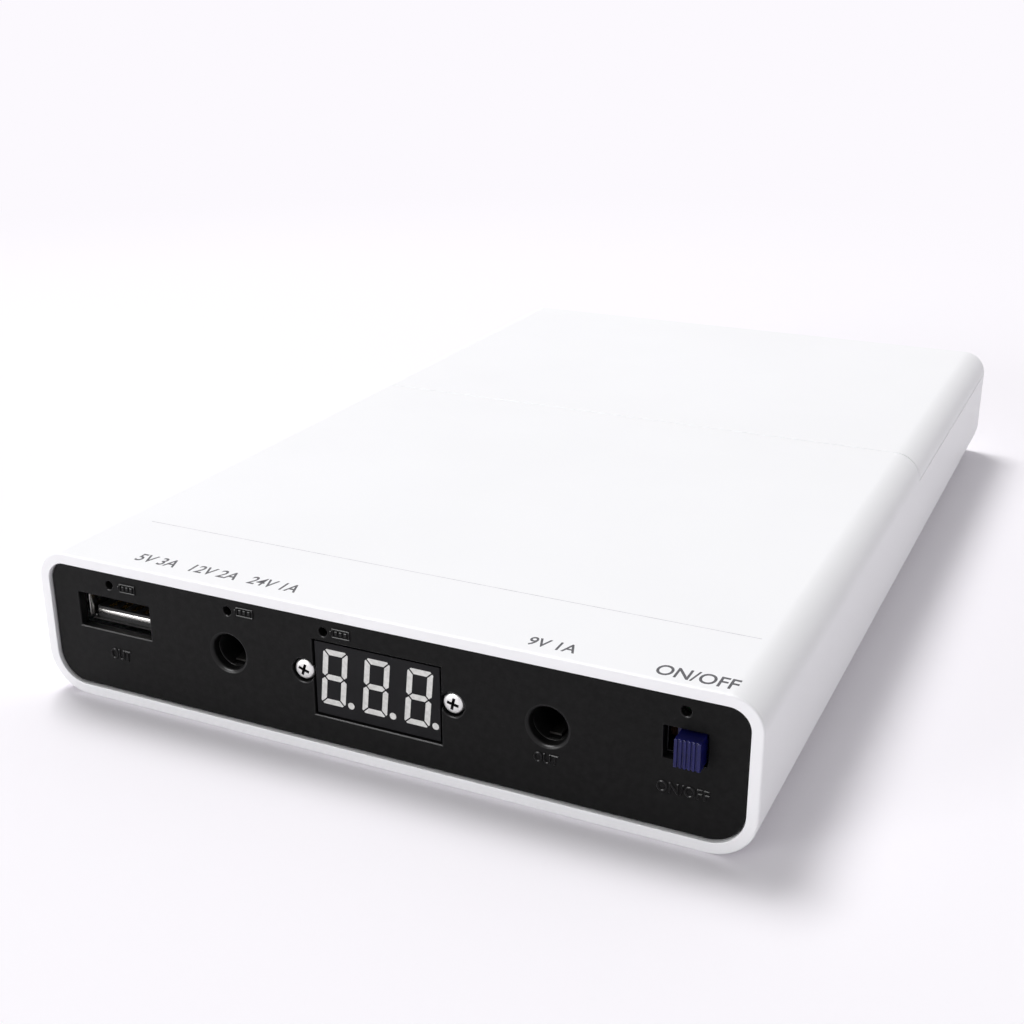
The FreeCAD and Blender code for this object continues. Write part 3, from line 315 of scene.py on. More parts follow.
def turned(made, profile, centre, axis="Z", steps=32, materials=None):
    """Adds a turned solid: profile holds (radius, height) from one pole to the other, in mm.

    Materials holds one material number for each straight band of the profile.
    """
    points = [made.verts.new(Vector((radius, 0, height))) for radius, height in profile]
    edges = [made.edges.new(pair) for pair in zip(points, points[1:])]
    before = set(made.faces)
    bmesh.ops.spin(made, geom=points + edges, cent=(0, 0, 0), axis=(0, 0, 1), angle=math.tau,
                   steps=steps, use_merge=True)
    new_faces = [face for face in made.faces if face not in before]
    new_verts = list({vert for face in new_faces for vert in face.verts})
    if materials:
        bands = list(zip(profile, profile[1:]))
        for face in new_faces:
            middle = face.calc_center_median()
            spot = (math.hypot(middle.x, middle.y), middle.z)
            nearest = min(range(len(bands)), key=lambda i: band_distance(spot, bands[i]))
            face.material_index = materials[nearest]
    bmesh.ops.rotate(made, cent=(0, 0, 0), matrix=facing(axis), verts=new_verts)
    bmesh.ops.translate(made, vec=centre, verts=new_verts)


def close_up(made):
    """Merges the poles and seams of turned solids, and points every face outwards."""
    bmesh.ops.remove_doubles(made, verts=made.verts, dist=0.0005)
    bmesh.ops.recalc_face_normals(made, faces=made.faces)


def pin_tops(node):
    """The middle of each pin's upper end in a CAD node, in mm."""
    made = cad_copy(node)
    top = max(vert.co.z for vert in made.verts)
    ends = sorted((v.co.copy() for v in made.verts if v.co.z > top - 0.01), key=lambda p: p.x)
    made.free()
    groups = []
    for end in ends:
        if groups and end.x - groups[-1][0].x < PIN_GAP:
            groups[-1].append(end)
        else:
            groups.append([end])
    return [sum(group, Vector()) / len(group) for group in groups]


# Lacquer over copper: the tracks show as paler, slightly raised lines under a wet gloss
lacquer, tree, shader = start_material("green_board_lacquer", LACQUER_SHADES[0], 0.3, coat_weight=0.3)
spot = add(tree, "ShaderNodeTexCoord")
tracks = add(tree, "ShaderNodeTexBrick", {"Vector": spot.outputs["Object"], "Scale": 1.0,
                                          "Color1": linear(LACQUER_SHADES[0]),
                                          "Color2": linear(LACQUER_SHADES[0]),
                                          "Mortar": linear(LACQUER_SHADES[1]),
                                          "Brick Width": TRACK_PITCH * 3 * MM,
                                          "Row Height": TRACK_PITCH * MM,
                                          "Mortar Size": TRACK_WIDTH * MM, "Mortar Smooth": 0.1},
             offset=0.37, squash=0.6, squash_frequency=3)
tree.links.new(tracks.outputs["Color"], shader.inputs["Base Color"])
relief = add(tree, "ShaderNodeBump", {"Height": tracks.outputs["Fac"], "Strength": 1.0,
                                      "Distance": TRACK_RELIEF * MM})
tree.links.new(relief.outputs[0], shader.inputs["Normal"])
coat(lacquer, "main_board", "display_board")

# Solder that has run and set: bright, with soft dents and cloudy patches
tin, tree, shader = start_material("bright_tin", "#C9C8C2", 0.3, metallic=1.0)
grain(tree, shader, 0.5, 0.004)
handle(tree, shader, 1.2, 0.2, 0.4)
bm = bmesh.new()
board_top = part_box("main_board")[1][2] / MM
for node in ("usb_contacts", "left_jack_pin", "right_jack_pin", "left_jack_spring",
             "right_jack_spring", "display_pins", "switch_pins"):
    for end in pin_tops(node):
        turned(bm, SOLDER_PROFILE, (end.x, end.y, board_top), steps=16)
close_up(bm)
solder = make_piece("solder_joints", bm, tin)
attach(solder, "housing")


# USB socket: a nickel-plated steel sheet folded into a mouth with three flared lips, and pressed
# with spring fingers. Its black nylon moulding forms the tongue, which has a steel nose and carries
# four gold contacts. A thin black sheet over the floor of the mouth is painted shade.
SHEET = 0.25
SHEET_EDGE = 0.06
LIP_FLARE = 0.25
LIP_LENGTH = 0.8
# A lip bends in two steps: where each ends, and how far it flares, as shares of length and flare
LIP_STEPS = ((0.5, 0.25), (1.0, 0.75))
SOCKET_CORNER = 0.7
FINGER_PLACE = 3.0
FINGER_START = 3.0
FINGER_LENGTH = 6.0
FINGER_WIDTH = 2.0
FINGER_SLOT = 0.35
# How far the cut for the fingers reaches out of and into the socket's faces
CUT_OUT = 0.5
CUT_IN = 1.0
NOSE_LOW = 13.72
NOSE_HIGH = 14.62
NOSE_PROUD = 0.15
NOSE_DEPTH = 1.2
NOSE_OVERHANG = 1.6
NOSE_ROUNDING = 0.28
# Painted shade: a thin black sheet over the floor of the mouth. Its thickness, how far it sits back from
# the mouth, and how far short of the rear it ends
FLOOR_SHADE_SHEET = 0.2
FLOOR_SHADE_SET_BACK = 0.15
FLOOR_SHADE_END = 1.0


def corners(node):
    """A CAD node's lowest and highest corner, in mm."""
    low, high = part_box(node)
    return Vector(low) / MM, Vector(high) / MM


def slab(made, low, high, material=0):
    """Adds a closed box between two corners, in mm, and gives back its vertices."""
    low, high = Vector(low), Vector(high)
    scale = Matrix.Diagonal((*(high - low), 1))
    new = bmesh.ops.create_cube(made, size=1, matrix=Matrix.Translation((low + high) / 2) @ scale)
    for vert in new["verts"]:
        for face in vert.link_faces:
            face.material_index = material
    return new["verts"]


def bevel_some(made, edges, width, segments):
    """Rounds the given edges of a bmesh."""
    bmesh.ops.bevel(made, geom=edges, offset=width, affect="EDGES", segments=segments, profile=0.5,
                    material=-1, clamp_overlap=True)


def bake_modifiers(piece):
    """Takes the piece's modifiers into its mesh."""
    bpy.context.view_layer.update()
    seen_now = piece.evaluated_get(bpy.context.evaluated_depsgraph_get())
    baked = bpy.data.meshes.new_from_object(seen_now)
    piece.modifiers.clear()
    piece.data = baked


def carve(piece, made):
    """Cuts a closed bmesh in mm out of a piece, after the modifiers that the piece has so far."""
    bmesh.ops.scale(made, vec=(MM, MM, MM), verts=made.verts)
    mesh = bpy.data.meshes.new("cutter")
    made.to_mesh(mesh)
    made.free()
    for material in piece.data.materials:
        mesh.materials.append(material)
    cutter = bpy.data.objects.new("cutter", mesh)
    bpy.context.scene.collection.objects.link(cutter)
    cut = piece.modifiers.new("cut", "BOOLEAN")
    cut.operation = "DIFFERENCE"
    cut.solver = "EXACT"
    cut.use_self = True
    cut.object = cutter
    bake_modifiers(piece)
    keep_flats_flat(piece)
    bpy.data.objects.remove(cutter)
    bpy.data.meshes.remove(mesh)


# Rolling leaves faint lines along the sheet, which smear its reflections lengthways
plated_steel, tree, shader = start_material("nickel_plated_steel_sheet", "#C6C5C1", 0.25, metallic=1.0)
grain(tree, shader, 0.6, 0.001, stretch=(1, 0.1, 1))
handle(tree, shader, 2.5, 0.22, 0.32)

low, high = corners("usb_shell")
lip = Vector((LIP_FLARE, 0, LIP_FLARE))
bm = bmesh.new()
slab(bm, (low.x + lip.x, low.y + LIP_LENGTH, low.z + lip.z), (high.x - lip.x, high.y, high.z - lip.z))
long_edges = [e for e in bm.edges if abs(e.verts[0].co.y - e.verts[1].co.y) > 1]
bevel_some(bm, long_edges, SOCKET_CORNER, 4)
bm.faces.ensure_lookup_table()
mouth = min(bm.faces, key=lambda f: f.calc_center_median().y)
# The roof and both sides of the mouth flare out, and its floor stays straight
mouth_edges = [e for e in mouth.edges if e.calc_length() > 2
               and (e.verts[0].co.z + e.verts[1].co.z) / 2 > low.z + 1]
bmesh.ops.delete(bm, geom=[mouth], context="FACES_ONLY")
middle = (low + high) / 2
for edge in mouth_edges:
    side = (edge.verts[0].co + edge.verts[1].co) / 2 - middle
    outwards = Vector((math.copysign(1, side.x), 0, 0)) if abs(side.x) > 5 else \
        Vector((0, 0, math.copysign(1, side.z)))
    for share, flare in LIP_STEPS:
        run = bmesh.ops.extrude_edge_only(bm, edges=[edge])
        moved = [g for g in run["geom"] if isinstance(g, bmesh.types.BMVert)]
        for vert in moved:
            vert.co.y = low.y + LIP_LENGTH * (1 - share)
        bmesh.ops.translate(bm, vec=outwards * LIP_FLARE * flare, verts=moved)
        edge = next(g for g in run["geom"] if isinstance(g, bmesh.types.BMEdge)
                    and all(v in moved for v in g.verts))
bmesh.ops.recalc_face_normals(bm, faces=bm.faces)
socket = make_piece("usb_socket_sheet", bm, plated_steel)
wall = socket.modifiers.new("sheet", "SOLIDIFY")
wall.thickness = SHEET * MM
wall.offset = -1
round_edges(socket, SHEET_EDGE)
bake_modifiers(socket)
bm = bmesh.new()
for x in (middle.x - FINGER_PLACE, middle.x + FINGER_PLACE):
    for under, over in ((low.z - CUT_OUT, low.z + CUT_IN), (high.z - CUT_IN, high.z + CUT_OUT)):
        tip = low.y + FINGER_START
        root = tip + FINGER_LENGTH
        left, right = x - FINGER_WIDTH / 2, x + FINGER_WIDTH / 2
        slab(bm, (left - FINGER_SLOT, tip, under), (left, root, over))
        slab(bm, (right, tip, under), (right + FINGER_SLOT, root, over))
        slab(bm, (left - FINGER_SLOT, tip - FINGER_SLOT, under), (right + FINGER_SLOT, tip, over))
carve(socket, bm)
fit(socket, "housing", "socket_steel", "usb_shell")

# Glass fibres lie just under the skin, so the black looks dull and faintly speckled
black_nylon, tree, shader = start_material("black_glass_filled_nylon", "#101010", 0.42)
grain(tree, shader, 0.25, 0.004)
mottle(tree, shader, 1.5, ("#0D0D0D", "#161616"))
bm = cad_copy("usb_tongue")
low, high = corners("usb_tongue")
contacts_low, contacts_high = corners("usb_contacts")
nose_half = (contacts_high.x - contacts_low.x) / 2 + NOSE_OVERHANG
middle = (low + high) / 2
nose = slab(bm, (middle.x - nose_half, low.y - NOSE_PROUD, NOSE_LOW),
            (middle.x + nose_half, low.y + NOSE_DEPTH, NOSE_HIGH), 1)
nose_edges = {edge for vert in nose for edge in vert.link_edges}
bevel_some(bm, list(nose_edges), NOSE_ROUNDING, 3)
# The black sheet on the floor of the mouth is painted shade
sheet_low, sheet_high = corners("usb_shell")
inside = LIP_FLARE + SHEET
slab(bm, (sheet_low.x + inside, sheet_low.y + FLOOR_SHADE_SET_BACK, sheet_low.z + inside),
     (sheet_high.x - inside, sheet_high.y - FLOOR_SHADE_END, sheet_low.z + inside + FLOOR_SHADE_SHEET))
tongue = make_piece("usb_tongue_moulding", bm, black_nylon, plated_steel)
fit(tongue, "housing", "tongue_black", "usb_tongue")

# A thin wipe of gold over bronze: warm yellow with small duller patches
gold, tree, shader = start_material("gold_plated_bronze", "#D8B25C", 0.22, metallic=1.0)
grain(tree, shader, 0.4, 0.002)
handle(tree, shader, 1.0, 0.15, 0.32)
coat(gold, "usb_contacts")


# DC sockets: two black nylon blocks with a round bore, a turned centre pin and a bent leaf spring.
# Both metal parts are tinned, and their tails are soldered into the board.
JACK_EDGE = 0.15


def dress(node, name, material, body, slot_name, edge):
    """A CAD node's own shape with its edges rounded and its finish on."""
    piece = make_piece(name, cad_copy(node), material)
    round_edges(piece, edge)
    fit(piece, body, slot_name, node)
    return piece


# Tin dulled in air, its grey painted darker still as the shade deep in the bore, with blurred reflections
shaded_dark_tin, tree, shader = start_material("dull_tinned_bronze_painted_shade", "#504F4D", 0.4, metallic=1.0)
grain(tree, shader, 0.4, 0.003)
handle(tree, shader, 1.0, 0.3, 0.5)
for side in ("left", "right"):
    dress(side + "_jack_body", side + "_dc_socket_block", black_nylon, "housing", "jack_black", JACK_EDGE)
    # Pin and spring sit deep in the bore, and their darker tin is painted shade
    coat(shaded_dark_tin, side + "_jack_pin", side + "_jack_spring")


# Slide switch: a folded steel can holds a brown paper-laminate base with three tinned pins. The navy
# acetal knob slides in it. Six ribs across its face give the finger a grip.
KNOB_EDGE = 0.07
CAN_EDGE = 0.05
BASE_EDGE = 0.08
# Layers of paper pressed in resin: brown, with fine flat streaks
brown_laminate, tree, shader = start_material("paper_laminate", "#5B3A22", 0.55)
mottle(tree, shader, 1.5, ("#4E311C", "#6A452C"), stretch=(1, 1, 0.2))
grain(tree, shader, 0.3, 0.005)
dress("switch_base", "switch_base_plate", brown_laminate, "housing", "base_brown", BASE_EDGE)
# Steel painted dark grey as the shade inside the knob's window, with a dry and slightly blotchy shine
shaded_can_steel, tree, shader = start_material("can_steel_painted_shade", "#3B3B3D", 0.5, metallic=1.0)
grain(tree, shader, 0.3, 0.004)
handle(tree, shader, 1.5, 0.42, 0.6)
# The can shows only through the knob's window, so its dark grey is painted shade
dress("switch_frame", "switch_can", shaded_can_steel, "housing", "socket_steel", CAN_EDGE)
coat(tin, "switch_pins", "display_pins")

# Acetal is smooth and faintly waxy: a deep navy with small soft highlights
navy_acetal, tree, shader = start_material("navy_acetal", "#0E104A", 0.3, specular_ior_level=0.3)
grain(tree, shader, 0.25, 0.003)
mottle(tree, shader, 2.0, ("#0C0E44", "#111352"))
dress("switch_knob", "switch_knob_moulding", navy_acetal, "knob", "knob_navy", KNOB_EDGE)


# Indicator lamps: four surface-mounted lamps on the front edge of the board, each a white plastic
# case with a clear resin front and a tinned terminal at each end. Unlit, the resin looks cloudy.
TERMINAL = 0.45
TERMINAL_BACK = 0.55
TERMINAL_DROP = 0.1
LAMP_EDGE = 0.07
LENS_BASE = 0.4
LENS_PROFILE = [(0, 0.4), (0.35, 0.36), (0.6, 0.2), (0.68, 0), (0, -0.05)]
# Clear resin over phosphor: milky yellow-grey under a glassy front
cloudy_resin, tree, shader = start_material("cloudy_resin", "#B9B7A6", 0.2, coat_weight=0.4)
mottle(tree, shader, 0.8, ("#A5A391", "#C4C2B4"))
# Reflector plastic: an even, slightly warm white
lamp_case, tree, shader = start_material("white_lamp_plastic", "#E4E2DA", 0.4)
grain(tree, shader, 0.3, 0.003)
for number in range(1, 5):
    node = "lamp_%d" % number
    low, high = corners(node)
    bm = bmesh.new()
    slab(bm, (low.x + TERMINAL, low.y + LENS_BASE, low.z), (high.x - TERMINAL, high.y, high.z))
    front, top = low.y + TERMINAL_BACK, high.z - TERMINAL_DROP
    slab(bm, (low.x, front, low.z), (low.x + TERMINAL, high.y, top), 2)
    slab(bm, (high.x - TERMINAL, front, low.z), (high.x, high.y, top), 2)
    bevel_some(bm, list(bm.edges), LAMP_EDGE, 2)
    middle = (low + high) / 2
    before = len(bm.faces)
    turned(bm, LENS_PROFILE, (middle.x, low.y + LENS_BASE, middle.z), axis="-Y", steps=20)
    bm.faces.ensure_lookup_table()
    for face in bm.faces[before:]:
        face.material_index = 1
    close_up(bm)
    lamp_piece = make_piece("indicator_%d" % number, bm, lamp_case, cloudy_resin, tin)
    fit(lamp_piece, "housing", "lamp_body", node)


# Three-digit display: a black resin block with a near-black printed face. Its segments are cloudy
# resin windows, grey while unlit. It sits in a black frame with two screws, on a small upright board.
FACE_DEPTH = 0.05
HOLDER_EDGE = 0.15
# Screen ink over resin: a flat near-black that hardly shines
face_ink, tree, shader = start_material("near_black_face_ink", "#111113", 0.35, specular_ior_level=0.14)
grain(tree, shader, 0.5, 0.002)
mottle(tree, shader, 4.0, ("#0F0F11", "#151517"))
# The block's own sides: black, and a little rougher than the face
block_resin, tree, shader = start_material("black_display_resin", "#121214", 0.4)
grain(tree, shader, 0.4, 0.004)
mottle(tree, shader, 3.0, ("#0F0F11", "#161618"))
# Resin full of scattering powder: an even pale grey without a clear reflection
segment_resin, tree, shader = start_material("grey_segment_resin", "#D2D2CF", 0.4)
mottle(tree, shader, 0.5, ("#C9C9C6", "#DADAD7"))
grain(tree, shader, 0.3, 0.003)
bm = cad_copy("display_module")
low, high = corners("display_module")
for face in bm.faces:
    on_face = face.normal.y < -0.9 and face.calc_center_median().y < low.y + FACE_DEPTH
    face.material_index = 0 if on_face else 1
display = make_piece("display_block", bm, face_ink, block_resin)
fit(display, "housing", "display_face", "display_module")
coat(segment_resin, "display_segments")

# A coarse mould texture: black that greys a little where light grazes it
holder_abs, tree, shader = start_material("black_moulded_abs", "#191919", 0.5)
grain(tree, shader, 0.35, 0.008)
mottle(tree, shader, 6.0, ("#161616", "#1D1D1D"))
dress("display_holder", "display_frame_moulding", holder_abs, "housing", "holder_black", HOLDER_EDGE)


# Screws: cold-headed steel with a domed pan head and a tapered cross recess, plated with nickel.
# Two hold the front plate, two hang the display frame from the board and two hold the cell holder.
HEAD_RADIUS = 1.7
HEAD_HEIGHT = 1.0
SHANK_RADIUS = 0.95
THREAD_PITCH = 0.7
THREAD_DEPTH = 0.18
CROSS_REACH = 1.25
CROSS_WIDTH = 0.58
CROSS_DEPTH = 0.75
# The recess narrows to these shares of its length and width
CROSS_TAPER = (0.35, 0.45)
CUT_ABOVE = 0.4
# Tumbled in the plating barrel: a bright head with a finely broken shine
bright_nickel, tree, shader = start_material("bright_nickel_plating", "#DCDCDA", 0.4, metallic=1.0)
grain(tree, shader, 0.5, 0.004)
handle(tree, shader, 0.8, 0.32, 0.48)
# Painted shade: the cross recess gets a dark grey metal that stands for the shade deep in it
shaded_recess_steel, tree, shader = start_material("recess_with_painted_shade", "#2E2E30", 0.5, metallic=1.0)
grain(tree, shader, 0.3, 0.006)
handle(tree, shader, 0.5, 0.42, 0.62)
# The domed head: each point's radius and how far it lies below the crown, then the straight side
DOME = [(0, 0), (0.7, 0.01), (1.25, 0.05), (1.5, 0.16), (1.65, 0.36), (HEAD_RADIUS, 0.55)]
HEAD_PROFILE = [(radius, HEAD_HEIGHT - drop) for radius, drop in DOME] + [(HEAD_RADIUS, 0)]


def screws(name, node, places, axis, length, turns):
    """Screws with their seats at places, heads pointing along axis, each cross turned by degrees."""
    profile = list(HEAD_PROFILE)
    depth = 0.0
    while depth < length - THREAD_PITCH:
        profile.append((SHANK_RADIUS, -depth))
        profile.append((SHANK_RADIUS - THREAD_DEPTH, -depth - THREAD_PITCH / 2))
        depth += THREAD_PITCH
    profile += [(SHANK_RADIUS - THREAD_DEPTH, -depth), (0, -length)]
    made = bmesh.new()
    cutter = bmesh.new()
    for place, degrees in zip(places, turns):
        turned(made, profile, place, axis=axis, steps=28)
        before = set(cutter.verts)
        for quarter in (0, 90):
            wing = slab(cutter, (-CROSS_REACH, -CROSS_WIDTH / 2, HEAD_HEIGHT - CROSS_DEPTH),
                        (CROSS_REACH, CROSS_WIDTH / 2, HEAD_HEIGHT + CUT_ABOVE), 1)
            for vert in wing:
                if vert.co.z < HEAD_HEIGHT:
                    vert.co.x *= CROSS_TAPER[0]
                    vert.co.y *= CROSS_TAPER[1]
            turn = Matrix.Rotation(math.radians(degrees + quarter), 3, "Z")
            bmesh.ops.rotate(cutter, cent=(0, 0, 0), matrix=turn, verts=wing)
        new = [vert for vert in cutter.verts if vert not in before]
        bmesh.ops.rotate(cutter, cent=(0, 0, 0), matrix=facing(axis), verts=new)
        bmesh.ops.translate(cutter, vec=place, verts=new)
    close_up(made)
    # The faces cut by the cross take material 1, the painted shade of the recess
    piece = make_piece(name, made, bright_nickel, shaded_recess_steel)
    carve(piece, cutter)
    fit(piece, "housing", "screw_metal", node)


for name, node, axis, turns in (("plate_screws_cross_head", "plate_screws", "-Y", (-18, -12)),
                                ("display_frame_screws", "display_holder_screws", "Z", (10, 50)),
                                ("cell_holder_screws_cross_head", "cell_holder_screws", "Z", (35, 70))):
    low, high = corners(node)
    if axis == "-Y":
        seats = [(x, low.y + HEAD_HEIGHT, (low.z + high.z) / 2)
                 for x in (low.x + HEAD_RADIUS, high.x - HEAD_RADIUS)]
        length = high.y - low.y - HEAD_HEIGHT
    else:
        seats = [(x, (low.y + high.y) / 2, high.z - HEAD_HEIGHT)
                 for x in (low.x + HEAD_RADIUS, high.x - HEAD_RADIUS)]
        length = high.z - low.z - HEAD_HEIGHT
    screws(name, node, seats, axis, length, turns)


# Power chokes: three ferrite blocks under the board, each with the round edge of its winding core
# showing in its face. They are pressed from iron oxide powder and fired.
CHOKE_EDGE = 0.25
CORE_RADIUS = 3.5
GROOVE_RADIUS = 4.0
GROOVE_DEPTH = 0.35
GROOVE_CLEAR = 0.5
# Pressed powder: a flat dark grey with a gritty, speckled face
ferrite, tree, shader = start_material("pressed_ferrite", "#2C2C2E", 0.62)
grain(tree, shader, 0.25, 0.02)
mottle(tree, shader, 0.8, ("#262628", "#363638"))
for number in range(1, 4):
    node = "inductor_%d" % number
    low, high = corners(node)
    middle = (low + high) / 2
    choke = make_piece("choke_%d" % number, cad_copy(node), ferrite)
    round_edges(choke, CHOKE_EDGE)
    bm = bmesh.new()
    ring = [(CORE_RADIUS, -GROOVE_CLEAR), (GROOVE_RADIUS, -GROOVE_CLEAR),
            (GROOVE_RADIUS, GROOVE_DEPTH), (CORE_RADIUS, GROOVE_DEPTH), (CORE_RADIUS, -GROOVE_CLEAR)]
    turned(bm, ring, (middle.x, middle.y, low.z), steps=40)
    close_up(bm)
    carve(choke, bm)
    fit(choke, "housing", "inductor_grey", node)


# Capacitors: drawn aluminium cans, crimped onto a rubber bung and standing on square black bases.
# A black band on the end marks the negative side, and a pressed cross lets the can vent.
CAN_RADIUS = 4.0
# The rounded end and the crimp round the bung: each point's depth below the can's side, and how far
# it lies from the end or from the base
CAN_ROUNDING = [(0.45, 0), (0.12, 0.12), (0, 0.45)]
CRIMP = [(0, 1.9), (0.3, 1.6), (0.3, 1.2), (0, 0.9)]
CAN_SINK = 0.2
VENT_HALF = 2.2
VENT_SLOT = 0.12
MARK_FROM = 2.3
BASE_HALF = 4.15
BASE_HEIGHT = 1.0
BASE_CHAMFER = 1.1
# Drawing leaves fine lines up the can, which stretch its highlights
aluminium, tree, shader = start_material("drawn_aluminium", "#C6C7CA", 0.3, metallic=1.0)
grain(tree, shader, 0.5, 0.003, stretch=(1, 1, 0.1))
handle(tree, shader, 1.5, 0.22, 0.4)
low, high = corners("capacitors")
row_y = (low.y + high.y) / 2
row = cad_copy("capacitors")
can_xs = sorted({round((min(v.co.x for v in f.verts) + max(v.co.x for v in f.verts)) / 2, 1)
                 for f in row.faces if f.calc_center_median().z < low.z + 0.01 and f.calc_area() > 40})
row.free()
bm = bmesh.new()
cross = bmesh.new()
for x in can_xs:
    height = high.z - low.z
    can = [(0, height)] + [(CAN_RADIUS - depth, height - drop) for depth, drop in CAN_ROUNDING]
    can += [(CAN_RADIUS - depth, BASE_HEIGHT + rise) for depth, rise in CRIMP]
    can += [(CAN_RADIUS, BASE_HEIGHT - CAN_SINK), (0, BASE_HEIGHT - CAN_SINK)]
    turned(bm, can, (x, row_y, high.z), axis="-Z", steps=36)
    base = slab(bm, (x - BASE_HALF, row_y - BASE_HALF, high.z - BASE_HEIGHT),
                (x + BASE_HALF, row_y + BASE_HALF, high.z), 1)
    chamfered = [e for v in base for e in v.link_edges
                 if abs(e.verts[0].co.z - e.verts[1].co.z) > 0.5 and e.verts[0].co.x > x]
    bevel_some(bm, list(set(chamfered)), BASE_CHAMFER, 1)
    for across, along in ((VENT_HALF, VENT_SLOT), (VENT_SLOT, VENT_HALF)):
        slab(cross, (x - across, row_y - along, low.z - 0.1),
             (x + across, row_y + along, low.z + VENT_SLOT))
close_up(bm)
for x in can_xs:
    bmesh.ops.bisect_plane(bm, geom=bm.verts[:] + bm.edges[:] + bm.faces[:], dist=0.0001,
                           plane_co=(x + MARK_FROM, 0, 0), plane_no=(1, 0, 0))
for face in bm.faces:
    spot = face.calc_center_median()
    x = min(can_xs, key=lambda c: abs(c - spot.x))
    if spot.z < low.z + 0.05 and spot.x > x + MARK_FROM:
        face.material_index = 1
cans = make_piece("capacitor_cans", bm, aluminium, black_nylon)
carve(cans, cross)
fit(cans, "housing", "capacitor_can", "capacitors")


# Control chips: black epoxy, moulded round a stamped copper frame. What shows of the frame is eight
# tinned legs on each chip, four to a side.
BODY_HALF = 2.0
CHIP_EDGE = 0.06
# Epoxy full of ground quartz: matt black with a fine sandy surface
epoxy, tree, shader = start_material("black_moulded_epoxy", "#1D1D1F", 0.55)
grain(tree, shader, 0.2, 0.008)
mottle(tree, shader, 1.0, ("#19191A", "#222224"))
low, high = corners("control_chips")
row_y = (low.y + high.y) / 2
bm = cad_copy("control_chips")
for face in bm.faces:
    spot = face.calc_center_median()
    face.material_index = 1 if abs(spot.y - row_y) > BODY_HALF + 0.01 else 0
chips = make_piece("chip_bodies", bm, epoxy, tin)
round_edges(chips, CHIP_EDGE)
fit(chips, "housing", "chip_black", "control_chips")


# Front plate: black ABS, moulded with a fine spark-eroded grain and snapped in behind the rim. Port
# names and charge signs stand out of it. They are black on black and show only by their edges.
PLATE_EDGE = 0.18
RELIEF = 0.22
SIGN_SLOPE = 0.08
LINE = 0.2
LETTER_WEIGHT = 0.02
LETTER_SLOPE = 0.045
# The grain scatters the little light that black gives back, so the plate looks matt and deep
black_abs, tree, shader = start_material("black_textured_abs", "#0B0B0B", 0.5, specular_ior_level=0.11)
grain(tree, shader, 0.45, 0.02, detail=3.0)
mottle(tree, shader, 1.2, ("#090909", "#101010"))
# Where the mould is polished, as at every opening's edge and in the legends, it shines
smooth_abs, tree, shader = start_material("black_smooth_abs", "#0E0E0E", 0.3, specular_ior_level=0.22)
grain(tree, shader, 0.4, 0.003)
handle(tree, shader, 2.0, 0.26, 0.36)
plate_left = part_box("main_shell")[0][0] / MM
plate_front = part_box("front_plate")[0][1] / MM


def words(text, box, depth, weight, slope=0.0):
    """Lettering that fills a box (left, right, low, high) on the XY plane, as a solid bmesh in mm.

    Weight thickens the strokes and slope leans their sides, both as a share of the letters' size.
    """
    curve = bpy.data.curves.new("words", "FONT")
    curve.body = text
    curve.extrude = slope or 0.1
    curve.bevel_depth = slope
    curve.bevel_resolution = 0
    curve.offset = weight - slope
    curve.resolution_u = 4
    writing = bpy.data.objects.new("words", curve)
    bpy.context.scene.collection.objects.link(writing)
    bpy.context.view_layer.update()
    mesh = bpy.data.meshes.new_from_object(writing.evaluated_get(bpy.context.evaluated_depsgraph_get()))
    bpy.data.objects.remove(writing)
    made = bmesh.new()
    made.from_mesh(mesh)
    bpy.data.meshes.remove(mesh)
    bmesh.ops.remove_doubles(made, verts=made.verts, dist=0.0001)
    left, right, low, high = box
    xs = [vert.co.x for vert in made.verts]
    ys = [vert.co.y for vert in made.verts]
    deep = max(vert.co.z for vert in made.verts)
    wide = (right - left) / (max(xs) - min(xs))
    tall = (high - low) / (max(ys) - min(ys))
    for vert in made.verts:
        vert.co.x = left + (vert.co.x - min(xs)) * wide
        vert.co.y = low + (vert.co.y - min(ys)) * tall
        vert.co.z = vert.co.z * depth / 2 / deep
    return made


def join_in(made, extra):
    """Adds one bmesh to another."""
    mesh = bpy.data.meshes.new("part")
    extra.to_mesh(mesh)
    extra.free()
    made.from_mesh(mesh)
    bpy.data.meshes.remove(mesh)


# Each legend: its words, and the box it fills as (left, right, low, high) from the case's left edge
PLATE_WORDS = [
    ("OUT", (12.7, 16.6, 7.6, 9.5)),
    ("OUT", (87.3, 91.1, 7.6, 9.2)),
    ("ON/OFF", (105.5, 113.0, 7.7, 9.4)),
]
# Left end and height of each battery sign
BATTERY_SIGNS = [(15.8, 19.75), (38.0, 20.1), (54.9, 20.0)]
SIGN_WIDTH = 3.0
SIGN_HEIGHT = 1.5
# The sign's end terminal: how far out it reaches and starts, and its distance from top and bottom
CAP_OUT, CAP_IN, CAP_MARGIN = 0.35, 0.1, 0.45
# Its three charge bars: first place, pitch, width, and distance from top and bottom
BAR_START, BAR_PITCH, BAR_WIDTH, BAR_MARGIN = 0.45, 0.8, 0.45, 0.4
bm = cad_copy("front_plate")
